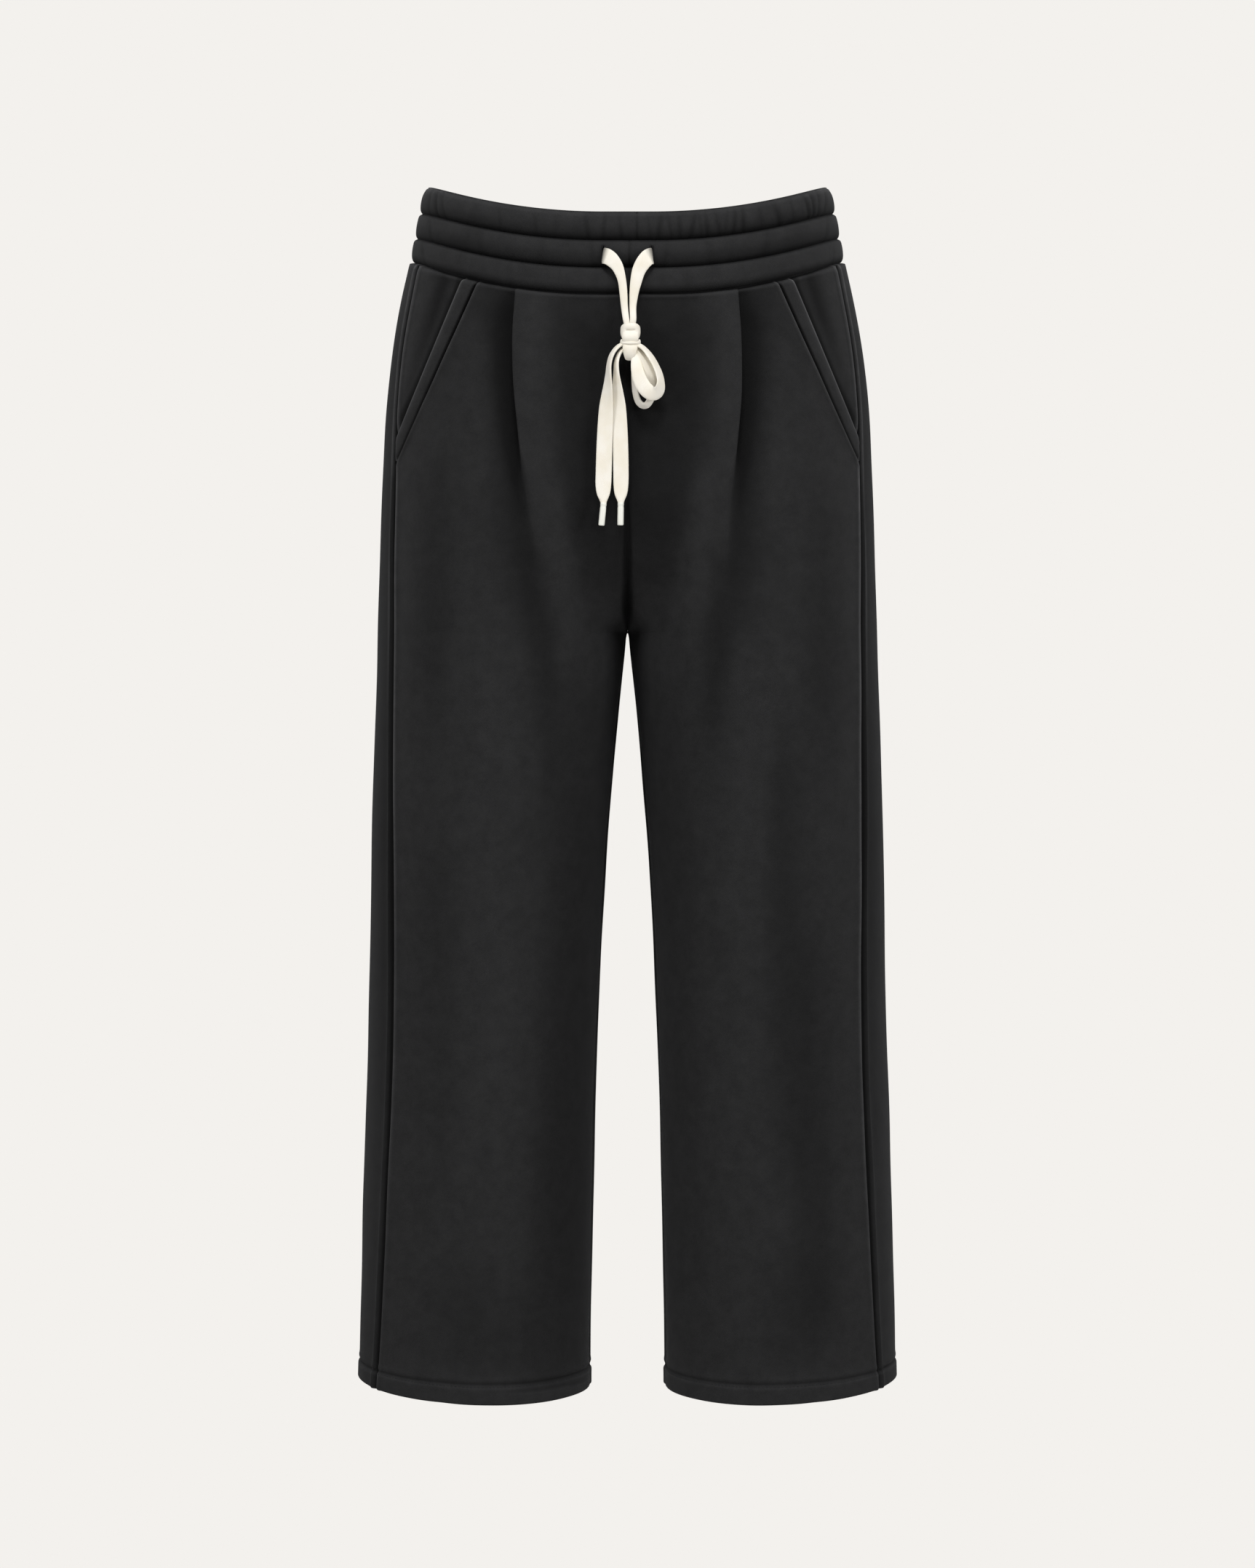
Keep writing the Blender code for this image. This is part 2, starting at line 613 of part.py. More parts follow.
waistband("waistband")
for side, side_name in ((-1, "right"), (1, "left")):
    front_panel(side, "front_" + side_name)
    back_panel(side, "back_" + side_name)
    pocket_welt(side, "pocket_welt_" + side_name)
    pocket_facing(side, "pocket_facing_" + side_name)
    aglet(side_name)
cord_stretch("cord_strand_right", STRAND_RIGHT)
cord_stretch("cord_strand_left", STRAND_LEFT)
cord_stretch("cord_loop_front", LOOP_FRONT)
cord_stretch("cord_loop_rear", LOOP_REAR)
cord_stretch("cord_tail_right", TAIL_RIGHT)
cord_stretch("cord_tail_left", TAIL_LEFT)
knot("cord_knot")
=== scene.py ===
"""Straight-leg drawcord sweatpants in heavy black fleece: cloth, cord, thread and light.

Metres, +Z up, front towards -Y, wearer's right at -X, origin in the middle of the waistband.
Every cloth piece is a grid of points on one family of horizontal sections. An angle runs round
each half: -90 degrees at the front centre seam or inner-leg seam, 0 on the front crown of the
leg, 90 at the outermost line, 180 on the back crown and 270 at the back centre seam.
"""
import math

import bpy
import numpy as np
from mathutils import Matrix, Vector


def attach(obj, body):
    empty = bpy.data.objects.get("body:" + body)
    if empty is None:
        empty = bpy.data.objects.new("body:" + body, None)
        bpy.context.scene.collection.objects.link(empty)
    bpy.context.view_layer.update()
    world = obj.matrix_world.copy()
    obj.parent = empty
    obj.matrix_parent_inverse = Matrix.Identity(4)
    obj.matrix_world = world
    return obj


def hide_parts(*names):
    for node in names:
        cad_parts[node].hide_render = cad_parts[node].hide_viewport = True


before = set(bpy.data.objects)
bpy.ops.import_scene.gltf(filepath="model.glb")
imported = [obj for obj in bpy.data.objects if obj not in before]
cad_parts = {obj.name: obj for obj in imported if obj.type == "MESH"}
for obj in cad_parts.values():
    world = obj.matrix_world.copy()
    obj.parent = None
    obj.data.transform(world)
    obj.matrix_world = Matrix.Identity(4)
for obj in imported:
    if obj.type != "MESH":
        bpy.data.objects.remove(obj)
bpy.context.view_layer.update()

MM = 0.001

# Garment sizes
RIM_Z = 0.032
OUTSEAM = 1.000
BAND_HEIGHT = 0.062
FRONT_RISE_Z = -0.215
BACK_RISE_Z = -0.175
CROTCH_Z = -0.336
SEAM_VALLEY = 3.0
HEM_HEIGHT = 0.0155
CLOTH = 0.0022              # one layer of fleece, and the doubled ones below
HEM_CLOTH = 0.0038
WELT_CLOTH = 0.0034
FACING_CLOTH = 0.0018
HEM_Z = RIM_Z - OUTSEAM
WAIST_SEAM_Z = RIM_Z - BAND_HEIGHT
RIM_DIP = (0.028, 0.014)    # how far the edges dip in the middle of the front and the back
SEAM_DIP = (0.032, 0.014)
HEM_DIP = (0.007, 0.0)
HEM_FADE = 0.07             # height above the hem where its dip has faded out

# Horizontal sections of one half, from the rim to the hem
SECTION_COLUMNS = ("z", "half_width", "front", "back", "inner", "crown", "side_seam")
SECTIONS = np.array([
    (0.034, 0.1690, 0.1030, 0.1030, 0.0000, 0.0200, 0.1585),
    (-0.032, 0.1823, 0.1075, 0.1100, 0.0000, 0.0200, 0.1725),
    (-0.060, 0.1889, 0.1100, 0.1150, 0.0000, 0.0250, 0.1782),
    (-0.100, 0.1959, 0.1125, 0.1210, 0.0000, 0.0350, 0.1853),
    (-0.150, 0.2015, 0.1140, 0.1265, 0.0000, 0.0520, 0.1901),
    (-0.200, 0.2046, 0.1140, 0.1290, 0.0000, 0.0700, 0.1913),
    (-0.250, 0.2068, 0.1130, 0.1260, 0.0000, 0.0850, 0.1924),
    (-0.336, 0.2096, 0.1090, 0.1160, 0.0000, 0.1050, 0.1929),
    (-0.405, 0.2117, 0.1040, 0.1080, 0.0073, 0.1095, 0.1939),
    (-0.510, 0.2152, 0.0970, 0.1000, 0.0169, 0.1160, 0.1945),
    (-0.663, 0.2189, 0.0890, 0.0930, 0.0252, 0.1220, 0.1952),
    (-0.850, 0.2247, 0.0830, 0.0880, 0.0302, 0.1275, 0.2037),
    (-0.968, 0.2285, 0.0800, 0.0850, 0.0325, 0.1305, 0.2106),
])
# The pleat's fold line: height and distance from the middle
PLEAT_LINE = np.array([
    (0.034, 0.0880), (-0.030, 0.0895), (-0.059, 0.0909), (-0.0985, 0.0928), (-0.135, 0.0920),
    (-0.165, 0.0893), (-0.190, 0.0868), (-0.214, 0.0842), (-0.230, 0.0822), (-0.250, 0.0795),
    (-0.285, 0.0750), (-0.322, 0.0718), (-0.360, 0.0700), (-0.460, 0.0720), (-0.968, 0.0900),
])
# How much further out the fold line lies on the wearer's left
PLEAT_SHIFT = np.array([
    (0.034, 0.0), (-0.120, 0.0), (-0.150, 0.0013), (-0.190, 0.0017), (-0.230, 0.0030),
    (-0.262, 0.0068), (-0.310, 0.0090), (-0.420, 0.0080), (-0.968, 0.0),
])
OPENING_LINE = ((0.1364, -0.0510), (0.1912, -0.1785))
WELT_LINE = ((0.1240, -0.0518), (0.1914, -0.1980))
WELT_END_Z = -0.194
OPENING_DEPTH = 0.0052      # how deep the facing lies under the welt's free edge
FACING_UNDER_WELT = 0.008

# Fineness of the cloth grids, in metres between points
NEAR_EDGE = np.array([0, 0.5, 1.0, 1.6, 2.3, 3.2, 4.4, 6.0, 8.5]) * MM
ROW_STEP = 0.0040
COLUMN_STEP = {"front": 0.0040, "back": 0.0042, "welt": 0.0008, "facing": 0.0020}

# Painted highlight on the rolled edges beside the side seam and on the welt, right and left
EDGE_HIGHLIGHT = {-1: 1.0, 1: 1.4}
WELT_HIGHLIGHT = {-1: 1.8, 1: 2.3}

# Seams: the cloth rolls down into them
SEAM_SINK = 0.0030
SEAM_WIDTH = 0.0015
SEAM_RIDGE = 0.0014
WAIST_SINK = 0.0050
TUCK_IN = 0.0044            # how far the panels reach up behind the waistband
BAND_LIFT = 0.0020          # how far its lower edge lies above the waist seam
# Painted shade: a share per point by which the fleece's colour is darkened
PLAIN_SHADE = 0.3           # what the hollow attribute says on plain cloth

# Waistband
CHANNELS = 3
BAND_CLOTH = 0.0045
BAND_STEP = 0.0013          # between its columns, and between those at a buttonhole
HOLE_STEP = 0.0004
BUTTONHOLE_X = 0.0195
BUTTONHOLE_Z = -0.0311
SLIT_DEPTH = 0.0032
SLIT_WIDTH = 0.0011
SLIT_HALF_HEIGHT = (0.0086, 0.0072)     # where it starts and where it is deep
BAND_SEAM = 0.0009          # depth and width of the short seams across the channels

FRONT = (0.0, -1.0, 0.0)
SIDE_NAMES = {-1: "right", 1: "left"}
NODES = {"front": "front", "back": "back", "welt": "pocket_welt", "facing": "pocket_facing"}


# ---------------------------------------------------------------- camera

CAMERA_PLACE = (0, -3.2, -0.268)
CAMERA_DOWN = 3.518         # degrees below level
LENS = 87.37


def make_camera():
    """A long lens in front of the garment, a little above its middle and looking slightly down."""
    camera = bpy.data.objects.new("camera", bpy.data.cameras.new("camera"))
    bpy.context.scene.collection.objects.link(camera)
    camera.location = CAMERA_PLACE
    camera.rotation_euler = (math.radians(90 - CAMERA_DOWN), 0, 0)
    camera.data.lens = LENS
    camera.data.sensor_width = 36
    bpy.context.scene.camera = camera


make_camera()


# ---------------------------------------------------------------- mesh helpers

def unit(vectors):
    """Vectors of length one."""
    return vectors / np.maximum(np.linalg.norm(vectors, axis=-1, keepdims=True), 1e-12)


def bump(distance, width):
    """A soft bell of height one."""
    return np.exp(-(distance / width)**2)


def ease(value, low, high):
    """Smooth step from 0 at low to 1 at high."""
    t = np.clip((value - low) / (high - low), 0, 1)
    return t * t * (3 - 2 * t)


def signed_power(wave, power):
    """A sine or cosine raised to a power with its sign kept."""
    return np.sign(wave) * np.abs(wave)**power


def length_along(points):
    """Length from the first point of each row, or of one path, to all its points."""
    steps = np.linalg.norm(np.diff(points, axis=-2), axis=-1)
    return np.concatenate([0 * steps[..., :1], np.cumsum(steps, axis=-1)], axis=-1)


def grid_faces(index):
    """Quads between neighbouring points of a grid of point numbers."""
    quad = np.stack([index[:-1, :-1], index[1:, :-1], index[1:, 1:], index[:-1, 1:]], axis=2)
    return quad.reshape(-1, 4)


def ring_faces(rings, closed=False):
    """Quads of a grid of points whose rows are closed rings. When closed, its last ring also
    joins the first one."""
    index = np.arange(rings.shape[0] * rings.shape[1]).reshape(rings.shape[:2])
    if closed:
        index = np.concatenate([index, index[:1]])
    return grid_faces(np.concatenate([index, index[:, :1]], axis=1))


def add_mesh(name, points, quads, uv=None, triangles=(), face_material=None, sharp=None,
             painted_shade=None):
    """An object made of points, quads and triangles, smooth shaded up to the sharp angle. The
    UV map and the painted shade, which darkens the colour, are given per point."""
    quads, triangles = np.array(quads, dtype=np.int32), np.array(triangles, dtype=np.int32)
    corners = np.concatenate([quads.ravel(), triangles.ravel()])
    starts = np.concatenate([np.arange(0, quads.size, 4),
                             quads.size + np.arange(0, triangles.size, 3)]).astype(np.int32)
    mesh = bpy.data.meshes.new(name)
    mesh.vertices.add(len(points))
    mesh.vertices.foreach_set("co", np.asarray(points, dtype=np.float32).ravel())
    mesh.loops.add(len(corners))
    mesh.loops.foreach_set("vertex_index", corners)
    mesh.polygons.add(len(starts))
    mesh.polygons.foreach_set("loop_start", starts)
    if uv is not None:
        layer = mesh.uv_layers.new(name="UVMap")
        layer.data.foreach_set("uv", np.asarray(uv, dtype=np.float32)[corners].ravel())
    if face_material is not None:
        mesh.polygons.foreach_set("material_index", np.asarray(face_material, dtype=np.int32))
    # Painted shade, multiplied into the colour by the fleece material
    if painted_shade is not None:
        depth = mesh.attributes.new("painted_shade", "FLOAT", "POINT")
        depth.data.foreach_set("value", np.asarray(painted_shade, dtype=np.float32))
    mesh.update(calc_edges=True)
    mesh.validate()
    mesh.shade_smooth()
    if sharp:
        mesh.set_sharp_from_angle(angle=math.radians(sharp))
    piece = bpy.data.objects.new(name, mesh)
    bpy.context.scene.collection.objects.link(piece)
    return piece


def tube(name, rings, ends, uv=None):
    """A closed tube: quads between its rings, and a fan of triangles round the middle point of
    each end. Its UV map is x and y where none is given."""
    count, sides = rings.shape[:2]
    around = np.arange(sides)
    after = np.roll(around, -1)
    last_ring, middle = (count - 1) * sides, np.full(sides, count * sides)
    fans = np.concatenate([np.stack([around, after, middle], axis=1),
                           np.stack([last_ring + after, last_ring + around, middle + 1], axis=1)])
    points = np.concatenate([rings.reshape(-1, 3), ends])
    return add_mesh(name, points, ring_faces(rings), points[:, :2] if uv is None else uv, fans,
                    sharp=70)


def finish_piece(piece, materials, nodes=()):
    """Materials, the body it rides on and the nodes it stands for."""
    for material in materials:
        piece.data.materials.append(material)
    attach(piece, "root")
    if nodes:
        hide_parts(*nodes)
    return piece


# ---------------------------------------------------------------- materials

KNIT_PITCH = (0.0011, 0.0009)    # across the ribs and along them
YARN_PITCH = 0.0011


def connect(tree, node, inputs):
    """Gives each input a plain value, or links another node's output to it."""
    for key, value in inputs.items():
        if isinstance(value, bpy.types.NodeSocket):
            tree.links.new(value, node.inputs[key])
        else:
            node.inputs[key].default_value = value


def add(tree, kind, inputs=None, **settings):
    """A node with its settings and its inputs."""
    node = tree.nodes.new(kind)
    for key, value in settings.items():
        setattr(node, key, value)
    connect(tree, node, inputs or {})
    return node


def new_material(name):
    """An empty Principled material: its tree and its shader."""
    material = bpy.data.materials.new(name)
    material.use_nodes = True
    return material, material.node_tree, material.node_tree.nodes["Principled BSDF"]


def calculate(tree, operation, *terms):
    """A Math node's result. The terms are plain values or outputs of other nodes."""
    return add(tree, "ShaderNodeMath", dict(enumerate(terms)), operation=operation).outputs[0]


def sine(tree, length, pitch):
    """A sine of a length, one wave for each pitch."""
    return calculate(tree, "SINE", calculate(tree, "MULTIPLY", length, 2 * math.pi / pitch))


def noise(tree, vector, scale, detail, roughness):
    """Noise of a given fineness."""
    return add(tree, "ShaderNodeTexNoise", {"Vector": vector, "Scale": scale, "Detail": detail,
                                            "Roughness": roughness}).outputs["Fac"]


def spread(tree, value, to_min, to_max, from_min=0.0, from_max=1.0):
    """A value carried over from one span to another."""
    return add(tree, "ShaderNodeMapRange",
               {"Value": value, "From Min": from_min, "From Max": from_max,
                "To Min": to_min, "To Max": to_max}).outputs["Result"]


def ramp(tree, factor, low, high, start=0.0, stop=1.0):
    """A colour between low and high, as the factor goes from start to stop."""
    node = add(tree, "ShaderNodeValToRGB", {"Fac": factor})
    for element, place, colour in zip(node.color_ramp.elements, (start, stop), (low, high)):
        element.position = place
        element.color = (*colour, 1)
    return node.outputs["Color"]


def shaded(tree, colour, share):
    """A colour times a share."""
    return add(tree, "ShaderNodeVectorMath", {0: colour, "Scale": share},
               operation="SCALE").outputs["Vector"]


def raised(tree, height, strength, distance):
    """The normal of a surface with fine relief."""
    return add(tree, "ShaderNodeBump", {"Height": height, "Strength": strength,
                                        "Distance": distance}).outputs["Normal"]


def fleece_group():
    """Knitted fleece: ribs of loops on the cloth's own coordinates, fuzz and slow mottling.
    The height is the product of two sines plus a noise, and the mottling a sum of two noises."""
    group = bpy.data.node_groups.new("fleece", "ShaderNodeTree")
    for name, way, kind in (("Vector", "INPUT", "Vector"), ("Cloth", "INPUT", "Vector"),
                            ("Knit", "INPUT", "Float"), ("Fuzz", "INPUT", "Float"),
                            ("Mottle", "OUTPUT", "Float"), ("Height", "OUTPUT", "Float")):
        group.interface.new_socket(name, in_out=way, socket_type="NodeSocket" + kind)
    source = add(group, "NodeGroupInput").outputs
    part = add(group, "ShaderNodeSeparateXYZ", {"Vector": source["Cloth"]}).outputs
    slow = noise(group, source["Vector"], 75.0, 4.0, 0.68)
    fine = noise(group, source["Vector"], 900.0, 3.0, 0.7)
    fuzz = noise(group, source["Vector"], 2600.0, 2.0, 0.6)
    loops = calculate(group, "MULTIPLY", *(sine(group, part[axis], pitch)
                                           for axis, pitch in zip("XY", KNIT_PITCH)))
    knit = calculate(group, "MULTIPLY", loops, source["Knit"])
    hairs = calculate(group, "MULTIPLY", fuzz, source["Fuzz"])
    mottle = calculate(group, "MULTIPLY_ADD", fine, 0.45,
                       calculate(group, "MULTIPLY", slow, 0.55))
    add(group, "NodeGroupOutput",
        {"Mottle": mottle, "Height": calculate(group, "ADD", knit, hairs)})
    return group


FLEECE = fleece_group()


def fleece_material(name, dark, light, knit, fuzz, rise, sheen):
    """Matte black fleece whose colour and roughness follow the mottling, darkened by the painted
    shade given per point, with a soft sheen."""
    material, tree, shader = new_material(name)
    where = add(tree, "ShaderNodeTexCoord").outputs
    cloth = add(tree, "ShaderNodeGroup",
                {"Vector": where["Object"], "Cloth": where["UV"], "Knit": knit, "Fuzz": fuzz},
                node_tree=FLEECE).outputs
    painted_shade = add(tree, "ShaderNodeAttribute", attribute_name="painted_shade").outputs["Fac"]
    # Base colour times one minus 0.9 of the painted shade
    connect(tree, shader, {
        "Base Color": shaded(tree, ramp(tree, cloth["Mottle"], dark, light, 0.34, 0.69),
                             calculate(tree, "MULTIPLY_ADD", painted_shade, -0.90, 1.0)),
        "Roughness": spread(tree, cloth["Mottle"], 0.80, 0.94),
        "Normal": raised(tree, cloth["Height"], rise, 0.0004),
        "Specular IOR Level": 0.12,
        "Sheen Weight": sheen, "Sheen Roughness": 0.45, "Sheen Tint": (0.80, 0.82, 0.86, 1),
    })
    return material


FACE = fleece_material("black_fleece", (0.0185, 0.0185, 0.0190), (0.0315, 0.0315, 0.0321),
                       0.5, 0.9, 0.35, 0.02)
INSIDE = fleece_material("brushed_inside", (0.0190, 0.0190, 0.0196), (0.0400, 0.0400, 0.0408),
                         0.1, 1.6, 0.60, 0.05)


def thread_material():
    """Black sewing thread: a twist of fine diagonal ridges along each stitch."""
    material, tree, shader = new_material("black_thread")
    where = add(tree, "ShaderNodeTexCoord").outputs
    twist = add(tree, "ShaderNodeTexWave",
                {"Vector": where["Object"], "Scale": 420.0, "Distortion": 0.5},
                bands_direction="DIAGONAL").outputs["Fac"]
    connect(tree, shader, {
        "Base Color": ramp(tree, twist, (0.007, 0.007, 0.0075), (0.016, 0.016, 0.017)),
        "Normal": raised(tree, twist, 0.4, 0.0001),
        "Roughness": 0.7, "Specular IOR Level": 0.12,
    })
    return material


THREAD = thread_material()


def cord_material():
    """Flat cream cord: a woven herringbone of two slanting sines on the tape's own coordinates,
    with painted shade in the gaps between the yarns and a painted shadow where it leaves its
    buttonhole, slow changes of tone and fine fluff."""
    material, tree, shader = new_material("cream_cord")
    where = add(tree, "ShaderNodeTexCoord").outputs
    part = add(tree, "ShaderNodeSeparateXYZ", {"Vector": where["UV"]}).outputs
    across = calculate(tree, "ABSOLUTE", part["X"])
    slant, counter = (sine(tree, calculate(tree, way, across, part["Y"]), YARN_PITCH)
                      for way in ("ADD", "SUBTRACT"))
    weave = calculate(tree, "MULTIPLY_ADD", counter, 0.35, slant)
    fluff = noise(tree, where["Object"], 1400.0, 3.0, 0.65)
    slow = noise(tree, where["Object"], 70.0, 2.0, 0.5)
    # The yarn colour is darker in the gaps between the yarns: painted shade
    yarn = ramp(tree, spread(tree, weave, 0.0, 1.0, -1.4, 1.4),
                (0.80, 0.76, 0.67), (0.90, 0.865, 0.785), 0.0, 0.55)
    tint = ramp(tree, slow, (0.955, 0.935, 0.885), (1.0, 1.0, 1.0), 0.35, 0.65)
    tinted = add(tree, "ShaderNodeMix", {"Factor": 1.0, "A": yarn, "B": tint},
                 data_type="RGBA", blend_type="MULTIPLY").outputs["Result"]
    # Painted shadow: darker over the first few millimetres where the cord leaves its buttonhole
    buttonhole_shadow = spread(tree, part["Y"], 0.22, 1.0, 0.0012, 0.0056)
    connect(tree, shader, {
        "Base Color": shaded(tree, tinted, buttonhole_shadow),
        "Normal": raised(tree, calculate(tree, "MULTIPLY_ADD", weave, 0.5, fluff), 0.25, 0.0004),
        "Roughness": 0.86, "Specular IOR Level": 0.25,
        "Sheen Weight": 0.12, "Sheen Roughness": 0.5,
    })
    return material


CORD = cord_material()


def tip_material():
    """Ivory moulded sleeve with faint draw marks along it."""
    material, tree, shader = new_material("white_tip")
    where = add(tree, "ShaderNodeTexCoord").outputs
    drawn = add(tree, "ShaderNodeMapping",
                {"Vector": where["Object"], "Scale": (2400.0, 2400.0, 120.0)}).outputs["Vector"]
    marks = noise(tree, drawn, 1.0, 2.0, 0.5)
    connect(tree, shader, {
        "Base Color": ramp(tree, marks, (0.78, 0.78, 0.69), (0.88, 0.88, 0.82)),
        "Roughness": spread(tree, marks, 0.28, 0.42),
        "Normal": raised(tree, marks, 0.15, 0.0001),
    })
    return material


TIP = tip_material()


# ---------------------------------------------------------------- drawcord

KNOT_X = 2.35               # middle of the knot, in millimetres
KNOT_Y = -119.6

# Columns, in millimetres: x, y, z, width, thickness, then the way that the tape's face looks
STRAND_RIGHT = (
    (-19.6, -108.6, -31.0, 13.0, 1.5, *FRONT),
    (-18.6, -110.9, -31.2, 13.0, 1.5, *FRONT),
    (-16.0, -113.0, -32.1, 12.6, 1.6, *FRONT),
    (-12.2, -114.0, -35.0, 11.6, 1.8, *FRONT),
    (-8.0, -114.2, -40.5, 9.4, 2.0, *FRONT),
    (-4.8, -114.6, -49.8, 7.0, 2.4, *FRONT),
    (-3.4, -114.8, -60.0, 6.4, 2.6, *FRONT),
    (-2.5, -115.2, -72.0, 5.6, 3.0, *FRONT),
    (-1.2, -117.4, -82.0, 5.2, 3.2, *FRONT),
    (0.2, -117.4, -88.0, 5.0, 3.0, *FRONT),
)
STRAND_LEFT = (
    (19.8, -108.6, -31.3, 13.4, 1.5, *FRONT),
    (18.9, -110.9, -31.5, 13.4, 1.5, *FRONT),
    (16.3, -113.0, -32.8, 13.0, 1.6, *FRONT),
    (12.6, -114.0, -37.0, 12.2, 1.8, *FRONT),
    (9.0, -114.2, -43.6, 10.8, 2.0, *FRONT),
    (6.8, -114.6, -52.4, 9.2, 2.2, *FRONT),
    (5.3, -114.8, -61.0, 7.4, 2.6, *FRONT),
    (4.4, -115.2, -72.0, 5.6, 3.0, *FRONT),
    (4.6, -117.4, -82.0, 5.2, 3.2, *FRONT),
    (4.0, -117.0, -88.0, 5.0, 3.0, *FRONT),
)
# The wrap's flat end comes down the front of the knot and tucks under it
NOSE = (
    (2.4, -121.0, -88.6, 11.0, 2.6, *FRONT),
    (2.4, -123.2, -92.6, 13.0, 3.6, *FRONT),
    (2.3, -124.3, -97.2, 13.4, 4.4, *FRONT),
    (2.2, -123.0, -101.9, 12.0, 3.8, *FRONT),
    (2.0, -123.6, -106.6, 12.0, 4.8, *FRONT),
    (1.8, -122.4, -111.6, 9.6, 4.8, 0.0, -0.85, -0.5),
    (1.7, -119.8, -113.8, 7.2, 4.0, 0.0, 0.0, -1.0),
    (2.0, -117.4, -111.0, 6.4, 3.0, 0.0, 1.0, 0.0),
    (3.6, -117.0, -106.0, 6.0, 3.0, 0.0, 1.0, 0.0),
)
LOOP_FRONT = (
    (6.6, -119.8, -103.0, 6.0, 3.0, 0.5, -0.4, 0.8),
    (10.6, -121.6, -104.2, 6.6, 2.8, 0.5, -0.45, 0.75),
    (14.6, -123.2, -107.6, 7.6, 2.6, 0.7, -0.5, 0.55),
    (18.7, -124.4, -113.0, 8.6, 2.4, 0.8, -0.55, 0.35),
    (22.4, -125.2, -119.4, 9.2, 2.3, 0.83, -0.52, 0.2),
    (25.3, -125.8, -126.2, 9.8, 2.2, 0.84, -0.54, 0.1),
    (26.7, -126.2, -132.8, 10.2, 2.2, 0.82, -0.57, 0.0),
    (26.1, -126.6, -138.4, 10.8, 2.1, 0.65, -0.75, -0.25),
    (23.5, -127.0, -141.8, 11.2, 2.0, 0.3, -0.95, -0.4),
    (19.4, -127.3, -142.4, 11.6, 2.0, 0.0, -1.0, -0.25),
    (14.8, -127.3, -139.0, 11.8, 2.0, 0.0, -1.0, -0.1),
    (10.9, -126.8, -133.2, 11.4, 2.0, -0.05, -1.0, 0.0),
    (8.4, -125.8, -126.4, 10.4, 2.2, -0.05, -1.0, 0.0),
    (7.2, -124.2, -119.4, 9.0, 2.5, 0.0, -1.0, 0.0),
    (6.6, -122.2, -112.6, 7.0, 2.8, 0.0, -1.0, 0.0),
    (5.4, -120.2, -106.4, 5.6, 3.0, 0.0, -1.0, 0.0),
)
LOOP_REAR = (
    (7.4, -118.4, -105.4, 5.4, 2.8, 0.6, -0.4, 0.7),
    (10.4, -120.2, -108.8, 6.6, 2.6, 0.55, -0.7, 0.45),
    (14.0, -122.0, -114.4, 8.6, 2.5, 0.3, -0.93, 0.2),
    (17.0, -123.2, -120.8, 10.2, 2.4, 0.15, -0.98, 0.1),
    (18.9, -123.4, -128.4, 10.8, 2.4, 0.1, -0.99, 0.0),
    (19.8, -121.6, -137.6, 10.0, 2.4, 0.3, -0.94, -0.1),
    (18.6, -119.2, -146.4, 8.6, 2.4, 0.6, -0.62, -0.5),
    (15.4, -118.9, -151.2, 8.6, 2.4, 0.25, -0.55, -0.8),
    (11.6, -118.8, -151.4, 8.6, 2.4, -0.3, -0.5, -0.8),
    (8.4, -118.8, -147.8, 8.6, 2.4, -0.65, -0.5, -0.5),
    (6.4, -118.9, -141.0, 8.4, 2.4, -0.85, -0.5, -0.1),
    (5.4, -119.0, -132.4, 8.0, 2.4, -0.88, -0.45, 0.0),
    (4.8, -119.2, -123.4, 7.0, 2.4, -0.9, -0.4, 0.0),
    (4.0, -119.4, -114.6, 6.0, 2.6, -1.0, -0.2, 0.0),
    (2.4, -119.4, -107.4, 5.0, 2.8, -1.0, -0.2, 0.0),
)
TAIL_RIGHT = (
    (-1.0, -119.8, -102.4, 5.4, 3.0, -0.5, -0.2, 0.85),
    (-5.6, -120.4, -103.2, 6.0, 2.8, -0.5, -0.3, 0.85),
    (-9.8, -120.8, -106.6, 7.0, 2.6, -0.7, -0.35, 0.65),
    (-13.2, -120.6, -112.2, 8.2, 2.4, -0.9, -0.35, 0.3),
    (-14.9, -120.0, -119.0, 9.2, 2.3, -0.95, -0.35, 0.1),
    (-15.4, -119.2, -127.0, 10.2, 2.2, -0.92, -0.45, 0.0),
    (-16.0, -118.3, -138.0, 11.2, 2.0, -0.75, -0.7, 0.0),
    (-17.1, -117.4, -152.0, 12.2, 1.8, -0.4, -0.92, 0.0),
    (-17.9, -116.8, -167.0, 12.6, 1.7, -0.2, -0.98, 0.0),
    (-18.6, -116.5, -184.0, 12.8, 1.6, -0.08, -1.0, 0.0),
    (-19.2, -116.4, -204.0, 12.9, 1.6, *FRONT),
    (-19.5, -116.4, -215.0, 12.6, 1.6, *FRONT),
    (-19.5, -116.4, -222.5, 10.6, 1.9, *FRONT),
    (-19.4, -116.5, -228.0, 6.2, 2.8, *FRONT),
    (-19.4, -116.5, -231.5, 4.0, 3.4, *FRONT),
)
